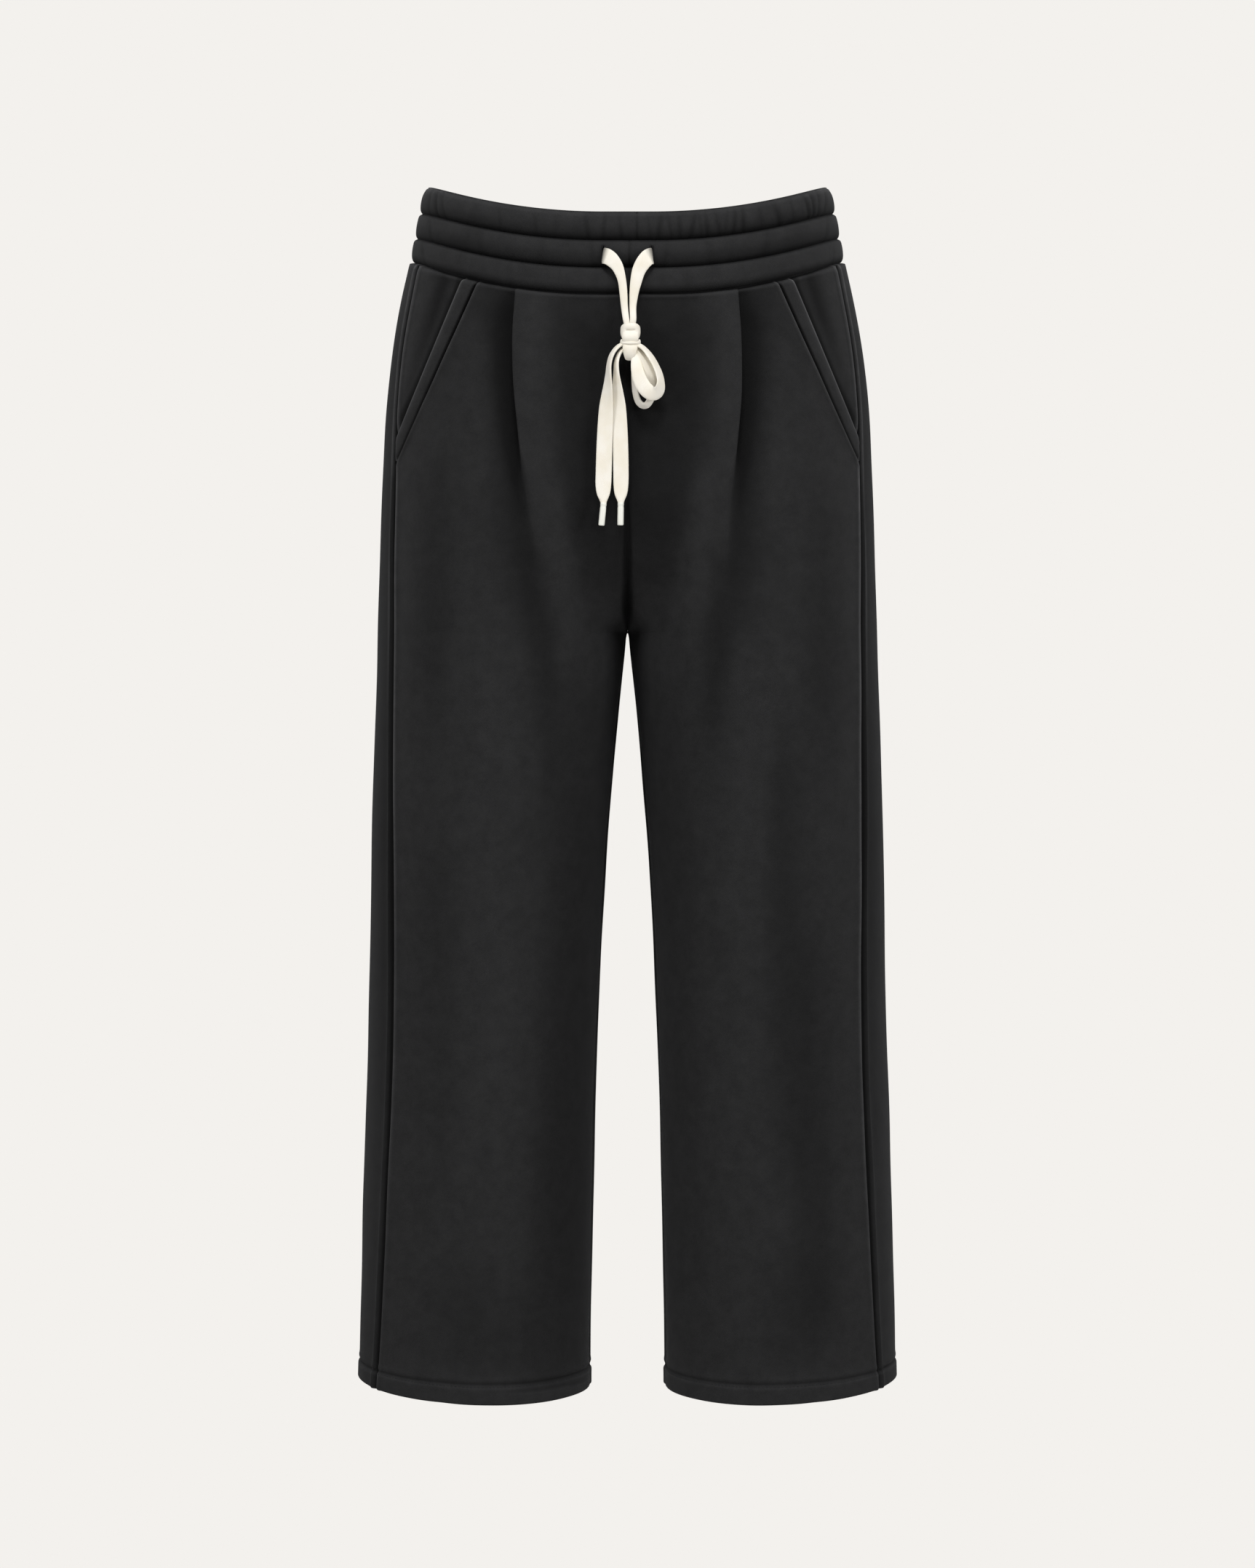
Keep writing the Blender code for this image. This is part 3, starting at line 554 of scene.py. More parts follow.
TAIL_LEFT = (
    (-1.4, -118.8, -105.6, 5.0, 3.0, -0.5, -0.2, 0.85),
    (-4.9, -119.4, -107.8, 5.6, 2.8, -0.5, -0.3, 0.85),
    (-7.6, -119.7, -112.2, 6.6, 2.6, -0.8, -0.35, 0.5),
    (-9.0, -119.6, -118.0, 7.8, 2.4, -0.9, -0.4, 0.1),
    (-9.0, -119.0, -126.6, 9.0, 2.3, -0.85, -0.5, 0.0),
    (-8.3, -118.2, -138.0, 10.4, 2.1, -0.6, -0.8, 0.0),
    (-7.0, -117.3, -152.0, 11.6, 1.8, -0.3, -0.94, 0.0),
    (-6.2, -116.8, -167.0, 12.0, 1.7, -0.12, -0.99, 0.0),
    (-5.6, -116.5, -184.0, 12.3, 1.6, *FRONT),
    (-5.3, -116.4, -204.0, 12.4, 1.6, *FRONT),
    (-5.3, -116.4, -215.0, 12.0, 1.6, *FRONT),
    (-5.4, -116.4, -222.5, 10.2, 1.9, *FRONT),
    (-5.4, -116.5, -228.0, 6.0, 2.8, *FRONT),
    (-5.4, -116.5, -231.5, 4.0, 3.4, *FRONT),
)
AGLETS = {
    "right": ((-0.0193, -0.1165, -0.2298), (-0.0211, -0.1168, -0.2483)),
    "left": ((-0.0054, -0.1165, -0.2296), (-0.0057, -0.1168, -0.2481)),
}
CORD_STEP = 0.0008
CORD_WIDTH = 0.013


def wrap_rows(start, stop, steps, radius, level, tilt, width, side_width, thick):
    """Rows of a turn round the knot: an oval in plan, its face outwards, narrower in front."""
    rows = []
    for angle in np.radians(np.linspace(start, stop, steps)):
        front = float(ease(-math.sin(angle), 0.05, 0.90))
        rows.append((KNOT_X + radius[0] * math.cos(angle), KNOT_Y + radius[1] * math.sin(angle),
                     level + tilt * front, side_width + (width - side_width) * front, thick,
                     math.cos(angle), math.sin(angle), 0.0))
    return tuple(rows)


def smooth_path(table, spacing):
    """Rows of a table joined by a Catmull-Rom curve and read at even steps along it."""
    knots = np.array(table, dtype=float)
    ends = np.concatenate([2 * knots[:1] - knots[1:2], knots, 2 * knots[-1:] - knots[-2:-1]])
    s = np.linspace(0, 1, 25)[:-1, None]
    pieces = [0.5 * (2 * b + (c - a) * s + (2 * a - 5 * b + 4 * c - d) * s**2
                     + (3 * b - a - 3 * c + d) * s**3)
              for a, b, c, d in zip(ends[:-3], ends[1:-2], ends[2:-1], ends[3:])]
    fine = np.concatenate(pieces + [knots[-1:]])
    run = length_along(fine[:, :3])
    steps = np.linspace(0, run[-1], max(3, round(run[-1] / spacing)))
    return np.stack([np.interp(steps, run, column) for column in fine.T], axis=1)


def tape(name, table, nodes, tip):
    """Flat woven cord carried along a path. Its section is a superellipse |x/a|^p + |y/b|^2.2 = 1
    whose face keeps to the directions in the table. p is 3.2 where it lies flat, and 2 where it
    is bunched thick."""
    path = smooth_path(np.array(table) * ([MM] * 5 + [1] * 3), CORD_STEP)
    middle, width, thick = path[:, :3], path[:, 3:4], path[:, 4:5]
    along = unit(np.gradient(middle, axis=0))
    facing = path[:, 5:8]
    facing = unit(facing - along * np.sum(facing * along, axis=1, keepdims=True))
    sideways = np.cross(along, facing)
    turn = np.radians(np.arange(0, 360, 15))
    power = 3.2 - 1.2 * ease(thick / width, 0.24, 0.38)
    across = signed_power(np.cos(turn), 2 / power)
    out = signed_power(np.sin(turn), 2 / 2.2)
    rings = (middle[:, None] + sideways[:, None] * (width * across)[..., None] / 2
             + facing[:, None] * (thick * out)[..., None] / 2)
    run = np.arange(len(path)) * CORD_STEP
    uv = np.stack(np.broadcast_arrays(CORD_WIDTH / 2 * across, run[:, None]), axis=2)
    uv = np.concatenate([uv.reshape(-1, 2), [[0, 0], [0, run[-1]]]])
    piece = tube(name, rings, middle[[0, -1]], uv)
    finish_piece(piece, [CORD], nodes)


def sleeve(side_name):
    """Round sleeve on a free end: a profile of radii turned about the line between its ends,
    with rounded rims and a crimped waist near its mouth."""
    top, bottom = (np.array(end) for end in AGLETS[side_name])
    axis = unit(bottom - top)
    side = unit(np.cross(axis, (0, 1, 0)))
    other = np.cross(side, axis)
    length = np.linalg.norm(bottom - top)
    # Length along the sleeve, and radius
    profile = np.array([
        (0.0004, 0.00000), (0.0003, 0.00160), (0.0000, 0.00200), (0.0001, 0.00225),
        (0.0004, 0.00245), (0.0009, 0.00250), (0.0022, 0.00250), (0.0027, 0.00236),
        (0.0034, 0.00234), (0.0040, 0.00246), (0.0050, 0.00250), (length - 0.0011, 0.00250),
        (length - 0.0006, 0.00244), (length - 0.0002, 0.00222), (length, 0.00185),
        (length, 0.00000),
    ])
    turn = np.radians(np.arange(0, 360, 7.5))
    ring = np.cos(turn)[:, None] * side + np.sin(turn)[:, None] * other
    rings = top + profile[1:-1, :1, None] * axis + profile[1:-1, 1:, None] * ring
    piece = tube("aglet_sleeve_" + side_name, rings, top + profile[[0, -1], :1] * axis)
    return finish_piece(piece, [TIP], ["aglet_" + side_name])


def drawcord():
    """Two flat cords, one from each buttonhole: each goes round the knot, makes one loop of the
    bow and ends in a hanging tail with its sleeve."""
    upper = wrap_rows(60, 450, 24, (5.6, 4.4), -92.7, 3.9, 6.2, 11.6, 5.0)
    lower = wrap_rows(60, 450, 24, (7.1, 5.6), -101.0, -0.9, 2.4, 5.0, 2.4)
    tape("drawcord_right", STRAND_RIGHT + upper + NOSE + LOOP_FRONT + TAIL_RIGHT,
         ("cord_strand_right", "cord_loop_front", "cord_tail_right", "cord_knot"),
         sleeve("right"))
    tape("drawcord_left", STRAND_LEFT + lower + LOOP_REAR + TAIL_LEFT,
         ("cord_strand_left", "cord_loop_rear", "cord_tail_left"),
         sleeve("left"))


drawcord()


# ---------------------------------------------------------------- sections of the garment

def through(table, column, z):
    """Value of a table's column at heights z, on a smooth cubic through its rows."""
    heights, values = table[::-1, 0], table[::-1, column]
    slopes = np.gradient(values, heights)
    z = np.clip(z, heights[0], heights[-1])
    row = np.clip(np.searchsorted(heights, z) - 1, 0, len(heights) - 2)
    step = heights[row + 1] - heights[row]
    s = (z - heights[row]) / step
    return ((2 * s**3 - 3 * s**2 + 1) * values[row] + (s**3 - 2 * s**2 + s) * step * slopes[row]
            + (3 * s**2 - 2 * s**3) * values[row + 1] + (s**3 - s**2) * step * slopes[row + 1])


def at(name, z):
    """A column of SECTIONS by its name."""
    return through(SECTIONS, SECTION_COLUMNS.index(name), z)


def fall(z, angle):
    """Share of the way down the front or back rise, from the top of its curve to the crotch."""
    start = np.where(np.cos(angle) >= 0, FRONT_RISE_Z, BACK_RISE_Z)
    return np.clip((start - z) / (start - CROTCH_Z), 0, 1)


def section(z, angle, bridge):
    """x and y of the left half: quarter ellipses round the leg, filled out inside the crowns
    by the bridge, a share of the squared depth."""
    front, across = np.cos(angle) >= 0, np.sin(angle)
    crown, depth = at("crown", z), np.where(front, at("front", z), at("back", z))
    reach = np.where(across > 0, at("half_width", z) - crown, crown - at("inner", z))
    y = depth * np.sqrt(1 - across**2 + np.where(across > 0, 0, bridge))
    return crown + reach * across, np.where(front, -y, y)


def outline(z, angle):
    """x and y of the outer surface of the left half. The bridge is flat at the waist and
    sinks to the centre seam down the rise, in a valley that narrows as it goes."""
    down = fall(z, angle)**2
    return section(z, angle, (1 - down) * np.abs(np.sin(angle))**(2 + 2 * SEAM_VALLEY * down))


def front_angle(x, z):
    """The angle at which the front surface at height z has the given x."""
    crown = at("crown", z)
    reach = np.where(x > crown, at("half_width", z) - crown, crown - at("inner", z))
    return np.arcsin(np.clip((x - crown) / reach, -1, 1))


def drop(levels, angle):
    """Heights of the rows at the given angles: the waist seam and the hem dip in the middle of
    the front and the back, by an amount times the squared share of the depth. The hem also
    hangs lower towards the inner leg, by a square of the angle's sine."""
    z = levels + 0 * angle
    for place, fade_z in ((0, FRONT_RISE_Z), (1, BACK_RISE_Z)):
        marks = (HEM_Z, HEM_Z + HEM_FADE, fade_z, WAIST_SEAM_Z)
        amount = np.interp(levels, marks, (HEM_DIP[place], 0, 0, SEAM_DIP[place]))
        depth = at(("front", "back")[place], levels)
        here = (np.cos(angle) >= 0) == (place == 0)
        z = z - np.where(here, amount * (outline(levels, angle)[1] / depth)**2, 0)
    inward = np.maximum(-np.sin(angle), -0.25)
    low = np.interp(levels, (HEM_Z, HEM_Z + HEM_FADE), (1, 0))
    return z - low * (0.0013 + 0.0054 * inward + 0.0020 * inward**2)


def line_x(line, z):
    """x of a straight line, given by two (x, z) ends, at heights z."""
    (x0, z0), (x1, z1) = line
    return x0 + (x1 - x0) * (z - z0) / (z1 - z0)


def meet(levels, line):
    """The angle at which each row of the front meets the line x = line(z)."""
    z = levels
    for _ in range(10):
        angle = front_angle(line(z), z)
        z = drop(levels, angle)
    return angle


def strip(levels, first, last, step, near=NEAR_EDGE):
    """Angles and heights between two angles on each row: points close together near both
    edges and even between them, by length along the row."""
    fine = first + (last - first) * np.linspace(0, 1, 400)
    sinking = (1 - fall(levels, fine)) * np.sin(fine)
    run = length_along(np.stack(section(levels, fine, sinking**2), axis=-1))
    total = run[:, -1:]
    count = max(3, round(float(np.median(total) - 2 * near[-1]) / step))
    close = near * np.minimum(1, total / (3 * near[-1]))
    inside = close[:, -1:] + (total - 2 * close[:, -1:]) * np.linspace(0, 1, count)[1:-1]
    where = np.concatenate([close, inside, total - close[:, ::-1]], axis=1)
    angle = np.array([np.interp(w, r, a) for w, r, a in zip(where, run, fine)])
    return angle, drop(levels, angle)


def on_body(angle, z):
    """Grid of points of the outer surface."""
    x, y = outline(z, angle)
    return np.stack([x, y, z + 0 * x], axis=-1)


def normals(angle, z):
    """Outward normals of the outer surface, from small steps round it and down it."""
    lean, step = 0.01, 0.0012
    before = np.maximum(angle - lean, -math.pi / 2)
    after = np.minimum(angle + lean, 1.5 * math.pi)
    across = on_body(after, z) - on_body(before, z)
    down = on_body(angle, z - step) - on_body(angle, z + step)
    return unit(np.cross(down, across))


def piece_rows(angle, z):
    """x of a piece's points, and their distances along the row from its two ends."""
    base = on_body(angle, z)
    run = length_along(base)
    return base[..., 0], run, run[:, -1:] - run


def edge_roll(distance, sink, width=SEAM_WIDTH, ridge=SEAM_RIDGE):
    """How a sewn edge rolls in: down into the seam, and slightly proud just beside it."""
    return -sink * bump(distance, width) + ridge * bump(distance - 2.6 * width, 1.3 * width)


def painted_shade_depth(folds, seams):
    """Depth of painted shade: the plain shade on even cloth, up to 1 in the seams, and in the
    folds a share of one minus e to the power of minus depth / 4.4 mm. Raised folds lose the
    plain shade, which paints them lighter."""
    folds, seams = np.asarray(folds), np.asarray(seams)
    deep = np.maximum(1 - np.exp(np.minimum(folds, 0) / 0.0044), np.clip(-seams / 0.0024, 0, 1))
    return PLAIN_SHADE + (1 - PLAIN_SHADE) * deep - PLAIN_SHADE * np.clip(folds / 0.0080, 0, 1)


def smooth_interp(z, heights, values):
    """Interpolation with an eased step between neighbouring points, nothing outside them."""
    row = np.clip(np.searchsorted(heights, z) - 1, 0, len(heights) - 2)
    step = ease(z, heights[row], heights[row + 1])
    value = values[row] + (values[row + 1] - values[row]) * step
    return np.where((z < heights[0]) | (z > heights[-1]), 0, value)


def fold_field(angle, z, run, folds):
    """Sum of soft troughs (negative) and ridges. Each follows a line of heights, degrees and
    depths in millimetres. Across it, it is exp(-|distance / width|^power), with its own width
    in millimetres on each side."""
    total = 0 * angle
    for line, width_before, width_after, power in folds:
        heights, degrees, depths = (np.array(column) for column in zip(*sorted(line)))
        centre = np.radians(np.interp(z, heights, degrees))
        middle = np.array([np.interp(c, a, r) for c, a, r in zip(centre, angle, run)])
        away = (run - middle) / MM
        width = np.where(away < 0, width_before, width_after)
        depth = smooth_interp(z, heights, depths) * MM
        total = total + depth * np.exp(-np.abs(away / width)**power)
    return total


# ---------------------------------------------------------------- cloth pieces

def cloth_levels(bottom):
    """A column of the rows' heights, from behind the waistband down: even, closer at the top
    edge and at the crotch where the seam turns under, and close together over the hem's groove
    and its rounded edge."""
    even = np.arange(WAIST_SEAM_Z, HEM_Z + 0.024, -ROW_STEP)
    top_edge = WAIST_SEAM_Z - np.array([
        -TUCK_IN, -0.0034, -0.0026, -0.0018, -0.0012, -0.0004, 0.0004, 0.0014, 0.0026, 0.0055])
    turn = np.radians(np.arange(44, 91, 3.5))
    rise = FRONT_RISE_Z - (FRONT_RISE_Z - CROTCH_Z) * np.sin(turn)
    under = CROTCH_Z - np.array([0.0012, 0.0026])
    hem = HEM_Z + np.concatenate([np.arange(0.0225, 0.0022, -0.0011),
                                  (0.0019, 0.0014, 0.0009, 0.0005, 0.0002, 0.0)])
    even = even[(even > rise[0]) | (even < under[-1] - 0.0015)]
    rows = np.unique(np.round(np.concatenate([even, top_edge, rise, under, hem]), 7))[::-1]
    return rows[rows >= bottom - 1e-6, None]


def below_band(levels):
    """Distance below the waistband's lower edge."""
    return np.maximum(WAIST_SEAM_Z + BAND_LIFT - levels, 0)


def tucked(levels):
    """Share of the folds and seams at each row: none behind the waistband's lower edge."""
    return ease(below_band(levels), 0.0002, 0.0075)


def flank(angle):
    """1 at the sides of the body, 0 in front and behind."""
    return ease(np.sin(angle), 0.80, 0.97)


def waist_roll(levels, angle):
    """The top edge rolls in under the waistband, less at the sides."""
    below = below_band(levels)
    depth = WAIST_SINK * (1 - 0.92 * flank(angle) * ease(below, 0, 0.0015))
    return -depth * bump(below, 0.0024)


def waist_shade(levels):
    """Shade of the waist seam, and the lit roll beneath it."""
    below = below_band(levels)
    return 0.70 * bump(below, 0.0013) - 0.35 * bump(below - 0.0034, 0.0016)


def seam_shade(distance, ridge_at, painted_highlight):
    """Shade of a sewn seam: dark in its groove, lighter on the rolled cloth beside it."""
    return 0.70 * bump(distance, 0.0016) - painted_highlight * bump(distance - ridge_at, 0.0015)


def seam_sink(levels):
    """Depth of the side seams: shallow where the hem is turned over them."""
    at_hem = ease(levels - HEM_Z, HEM_HEIGHT + 0.006, HEM_HEIGHT)
    return SEAM_SINK * (1 - 0.35 * ease(levels, -0.50, -0.70) - 0.37 * at_hem)


def leg_opening(levels, run):
    """How far the inner-leg seams draw back from each other just below the crotch."""
    below = CROTCH_Z - levels
    window = ease(below, -0.0005, 0.004) * (0.0020 - 0.0014 * ease(below, 0.03, 0.25))
    return -window * bump(run, 0.014)


def hem_shade(levels):
    """Shade of the hem's groove, and the lighter puff beneath it."""
    above = levels - HEM_Z - HEM_HEIGHT
    return 0.36 * bump(above, 0.0009) - 0.20 * bump(above + 0.0026, 0.0014)


def hem_shape(levels):
    """Outward swell and thickness of each row near the hem: a stitched groove, a slight puff of
    the doubled cloth below it, and a rounded lower edge."""
    above = levels - HEM_Z
    swell = (0.0010 * ease(above, HEM_HEIGHT + 0.0005, HEM_HEIGHT - 0.0035)
             - 0.0008 * bump(above - HEM_HEIGHT, 0.0013)
             + 0.0004 * bump(above - HEM_HEIGHT - 0.0035, 0.002))
    thick = CLOTH + (HEM_CLOTH - CLOTH) * ease(above, HEM_HEIGHT + 0.002, HEM_HEIGHT - 0.001)
    radius = HEM_CLOTH / 2
    round_off = np.sqrt(np.clip(1 - np.clip((radius - above) / radius, 0, 1)**2, 0.004, 1))
    return swell - HEM_CLOTH * (1 - round_off) / 2, thick * round_off


def wall(name, outer, inner, side, uv, painted_shade):
    """A closed wall between two equal grids of points, face cloth outside and brushed cloth
    inside; side -1 mirrors it to the right leg."""
    rows, columns = outer.shape[:2]
    points = np.concatenate([outer.reshape(-1, 3), inner.reshape(-1, 3)]) * (side, 1, 1)
    index = np.arange(rows * columns).reshape(rows, columns)
    far = rows * columns
    outer_faces = grid_faces(index)
    inner_faces = outer_faces[:, ::-1] + far
    rim = np.concatenate([index[0, ::-1], index[1:, 0], index[-1, 1:], index[-2:0:-1, -1]])
    rim_next = np.roll(rim, -1)
    rim_faces = np.stack([rim_next, rim, rim + far, rim_next + far], axis=1)
    faces = np.concatenate([outer_faces, inner_faces, rim_faces])
    if side < 0:
        faces = faces[:, [0, 3, 2, 1]]
    kind = np.repeat([0, 1, 0], [len(outer_faces), len(inner_faces), len(rim_faces)])
    uv = np.tile(uv.reshape(-1, 2), (2, 1))
    # The inside gets the plain painted shade
    painted_shade = np.concatenate([painted_shade.ravel(), np.full(far, PLAIN_SHADE)])
    return add_mesh(name, points, faces, uv, face_material=kind, sharp=60, painted_shade=painted_shade)


# Pleat: the centre side is a broad roll that stands proud of the fold line, and the outer side
# lies deep beside it
PLEAT_END_Z = -0.345
PLEAT_AT_WAIST = 0.30         # strength left at the waist seam, where it is sewn flat
PLEAT_SHADE_AT_WAIST = 0.52


def pleat_x(z, side):
    """Distance of the pleat's fold line from the middle."""
    return through(PLEAT_LINE, 1, z) + (0.0004 if side < 0 else through(PLEAT_SHIFT, 1, z))


def pleat_offset(x, z, side, at_waist):
    """The pleat's step across its fold line: a roll that falls away towards the centre, a
    valley that rises outwards, and a step that is crisp at the waist and softens downwards.
    Its strength at the waist seam is given as a share."""
    away = x - pleat_x(z, side)
    down = np.clip((WAIST_SEAM_Z - 0.01 - z) / (WAIST_SEAM_Z - 0.01 - PLEAT_END_Z), 0, 1)
    near_waist = ease(z, WAIST_SEAM_Z - 0.060, WAIST_SEAM_Z - 0.022)
    strength = (1 - down**2.7)**1.2 * (1 - (1 - at_waist) * near_waist)
    softness = 0.0006 + 0.0075 * ease(down, 0.46, 0.76)
    step = 0.5 * (1 + np.tanh(away / softness))
    roll = 0.0040 * strength * bump(away + 0.005, 0.020)
    valley = -0.0115 * strength * np.exp(-(np.abs(away) / 0.021)**1.25)
    return roll * (1 - step) + valley * step


def front_line(rows):
    """A fold line of the front, given by (x, z, depth) in millimetres, as heights, degrees and
    depths."""
    x, z, depth = np.array(rows).T
    return list(zip(z * MM, np.degrees(front_angle(x * MM, z * MM)), depth))


# Folds of each front: lines of (x, z, depth) in millimetres, then the bell's widths
# before and after the line in millimetres, and its power
FRONT_FOLD_LINES = {
    -1: [
        (((81, -240, 0), (74, -285, -2.4), (68, -330, -3.0), (63, -380, -2.2), (60, -440, -1.0),
          (60, -520, 0)), 12, 17, 2),
        (((62, -200, 0), (56, -240, 1.6), (50, -285, 2.6), (46, -330, 2.0), (44, -380, 0)),
         9, 10, 2),
        (((40, -36, 0), (30, -64, -2.4), (24, -106, -4.6), (20, -175, -5.2), (16, -236, -4.8),
          (10, -285, -2.4), (10, -320, -1.0), (10, -380, 0)), 60, 38, 4),
        (((120, -60, 0), (119, -110, 2.2), (117, -180, 2.0), (112, -260, 0)), 16, 18, 2),
        (((152, -170, 0), (156, -240, -1.4), (157, -330, -1.6), (157, -470, 0)), 17, 20, 2),
        (((118, -300, 0), (110, -400, 2.0), (104, -520, 1.8), (101, -680, 1.4), (102, -860, 0.8),
          (104, -940, 0)), 24, 26, 2),
        (((24, -345, 0), (28, -420, -1.4), (36, -540, -2.2), (43, -680, -2.5), (49, -820, -2.7),
          (54, -930, -2.3), (56, -968, -1.6)), 38, 42, 2.7),
        (((130, -820, 0), (130, -890, -1.5), (130, -930, -1.5), (130, -962, 0)), 42, 40, 2),
        (((154, -460, 0), (154, -560, -1.2), (156, -700, -0.8), (162, -880, 0)), 22, 22, 2),
        (((70, -470, 0), (84, -520, -0.9), (100, -575, 0)), 12, 12, 2),
        (((128, -640, 0), (112, -700, 1.0), (92, -768, 0)), 14, 14, 2),
    ],
    1: [
        (((80, -250, 0), (76, -285, -2.6), (71, -335, -3.2), (67, -385, -2.4), (66, -440, -0.8),
          (68, -500, 0)), 12, 16, 2),
        (((66, -170, 0), (61, -215, 1.8), (55, -265, 2.8), (48, -315, 2.4), (44, -370, 0)),
         11, 11, 2),
        (((42, -36, 0), (32, -64, -3.0), (24, -106, -5.0), (20, -175, -5.2), (16, -236, -4.8),
          (10, -285, -2.4), (10, -320, -1.0), (10, -380, 0)), 60, 38, 4),
        (((120, -60, 0), (118, -120, 1.8), (116, -200, 1.8), (112, -280, 0)), 16, 18, 2),
        (((154, -190, 0), (158, -260, -1.2), (159, -360, -1.6), (159, -500, 0)), 17, 20, 2),
        (((108, -320, 0), (96, -430, 1.6), (88, -560, 1.4), (86, -720, 1.0), (92, -860, 0)),
         22, 20, 2),
        (((24, -345, 0), (28, -420, -1.1), (36, -540, -1.0), (42, -680, -0.6), (46, -820, -0.4),
          (50, -930, -0.3), (52, -968, 0)), 34, 28, 3),
        (((126, -380, 0), (127, -470, -1.8), (129, -600, -2.2), (132, -720, -1.4), (136, -830, 0)),
         18, 19, 2),
        (((66, -60, 0), (67, -110, -1.5), (65, -190, -1.5), (60, -240, 0)), 14, 12, 2),
        (((142, -830, 0), (142, -890, -1.5), (142, -930, -1.5), (142, -960, 0)), 30, 26, 2),
        (((152, -540, 0), (150, -640, -1.8), (152, -760, -2.2), (158, -880, -2.0), (162, -950, 0)),
         18, 20, 2),
        (((60, -560, 0), (78, -610, -0.9), (96, -660, 0)), 12, 12, 2),
    ],
}
FRONT_FOLDS = {side: [(front_line(line), *widths) for line, *widths in folds]
               for side, folds in FRONT_FOLD_LINES.items()}
# Folds of each back: lines of (height in metres, degrees, depth in millimetres), then the same
BACK_FOLDS = {
    -1: [
        (((-0.205, 203, 0), (-0.28, 213, -2.4), (-0.34, 223, -3.4), (-0.405, 234, -1.8),
          (-0.46, 241, 0)), 14, 19, 2),
        (((-0.25, 222, 0), (-0.29, 226, 1.8), (-0.35, 236, 0)), 11, 11, 2),
        (((-0.35, 198, 0), (-0.41, 207, -2.6), (-0.49, 222, 0)), 13, 16, 2),
        (((-0.07, 158, 0), (-0.17, 160, 2.4), (-0.27, 158, 0)), 28, 28, 2),
        (((-0.034, 176, -0.6), (-0.07, 178, -1.8), (-0.15, 182, -1.0), (-0.23, 186, 0)),
         10, 12, 2),
        (((-0.034, 205, -0.6), (-0.06, 207, -1.6), (-0.12, 212, 0)), 9, 10, 2),
        (((-0.034, 138, -0.5), (-0.08, 137, -1.6), (-0.18, 132, 0)), 10, 14, 2),
        (((-0.034, 112, -0.4), (-0.07, 112, -1.2), (-0.15, 110, 0)), 9, 11, 2),
        (((-0.3, 140, 0), (-0.48, 147, -2.4), (-0.7, 152, -1.8), (-0.88, 156, 0)), 24, 22, 2),
        (((-0.4, 188, 0), (-0.6, 194, 2.2), (-0.82, 190, 1.0), (-0.94, 190, 0)), 26, 26, 2),
        (((-0.5, 232, 0), (-0.68, 228, -2.6), (-0.86, 224, -1.4), (-0.96, 222, 0)), 24, 20, 2),
        (((-0.25, 106, 0), (-0.42, 110, -1.6), (-0.62, 112, 0)), 20, 20, 2),
        (((-0.56, 168, 0), (-0.64, 178, -1.4), (-0.72, 192, 0)), 13, 13, 2),
    ],
    1: [
        (((-0.215, 202, 0), (-0.29, 211, -2.2), (-0.345, 220, -3.1), (-0.41, 230, -1.8),
          (-0.47, 237, 0)), 14, 18, 2),
        (((-0.265, 220, 0), (-0.31, 225, 1.6), (-0.365, 236, 0)), 11, 11, 2),
        (((-0.37, 196, 0), (-0.44, 207, -2.4), (-0.52, 220, 0)), 13, 16, 2),
        (((-0.08, 156, 0), (-0.18, 158, 2.2), (-0.29, 155, 0)), 28, 28, 2),
        (((-0.034, 182, -0.6), (-0.065, 184, -1.6), (-0.135, 190, -0.8), (-0.21, 196, 0)),
         10, 12, 2),
        (((-0.034, 228, -0.5), (-0.07, 228, -1.4), (-0.14, 226, 0)), 9, 10, 2),
        (((-0.034, 148, -0.6), (-0.09, 145, -1.8), (-0.2, 138, 0)), 10, 14, 2),
        (((-0.034, 118, -0.4), (-0.08, 118, -1.0), (-0.16, 114, 0)), 9, 11, 2),
        (((-0.32, 142, 0), (-0.5, 149, -2.6), (-0.72, 152, -1.4), (-0.9, 156, 0)), 24, 22, 2),
        (((-0.42, 186, 0), (-0.62, 192, 2.0), (-0.84, 192, 1.0), (-0.95, 192, 0)), 26, 26, 2),
        (((-0.48, 233, 0), (-0.66, 230, -2.2), (-0.84, 226, -1.6), (-0.95, 222, 0)), 24, 20, 2),
        (((-0.23, 110, 0), (-0.4, 110, -1.8), (-0.6, 108, 0)), 20, 20, 2),
        (((-0.6, 166, 0), (-0.68, 177, -1.3), (-0.76, 190, 0)), 13, 13, 2),
    ],
}


def slow_waves(x, z, seed):
    """Very shallow unevenness of hanging cloth: a sum of a few long sine waves."""
    random = np.random.default_rng(seed)
    total = 0 * x
    for wave_x, wave_z, size in ((9, 3, 0.35), (17, 6, 0.22), (29, 11, 0.12)):
        shift = random.uniform(0, 2 * math.pi, 2)
        total += size * np.sin(2 * math.pi * wave_x * x + shift[0]) \
            * np.sin(2 * math.pi * wave_z * z + shift[1])
    return total * MM


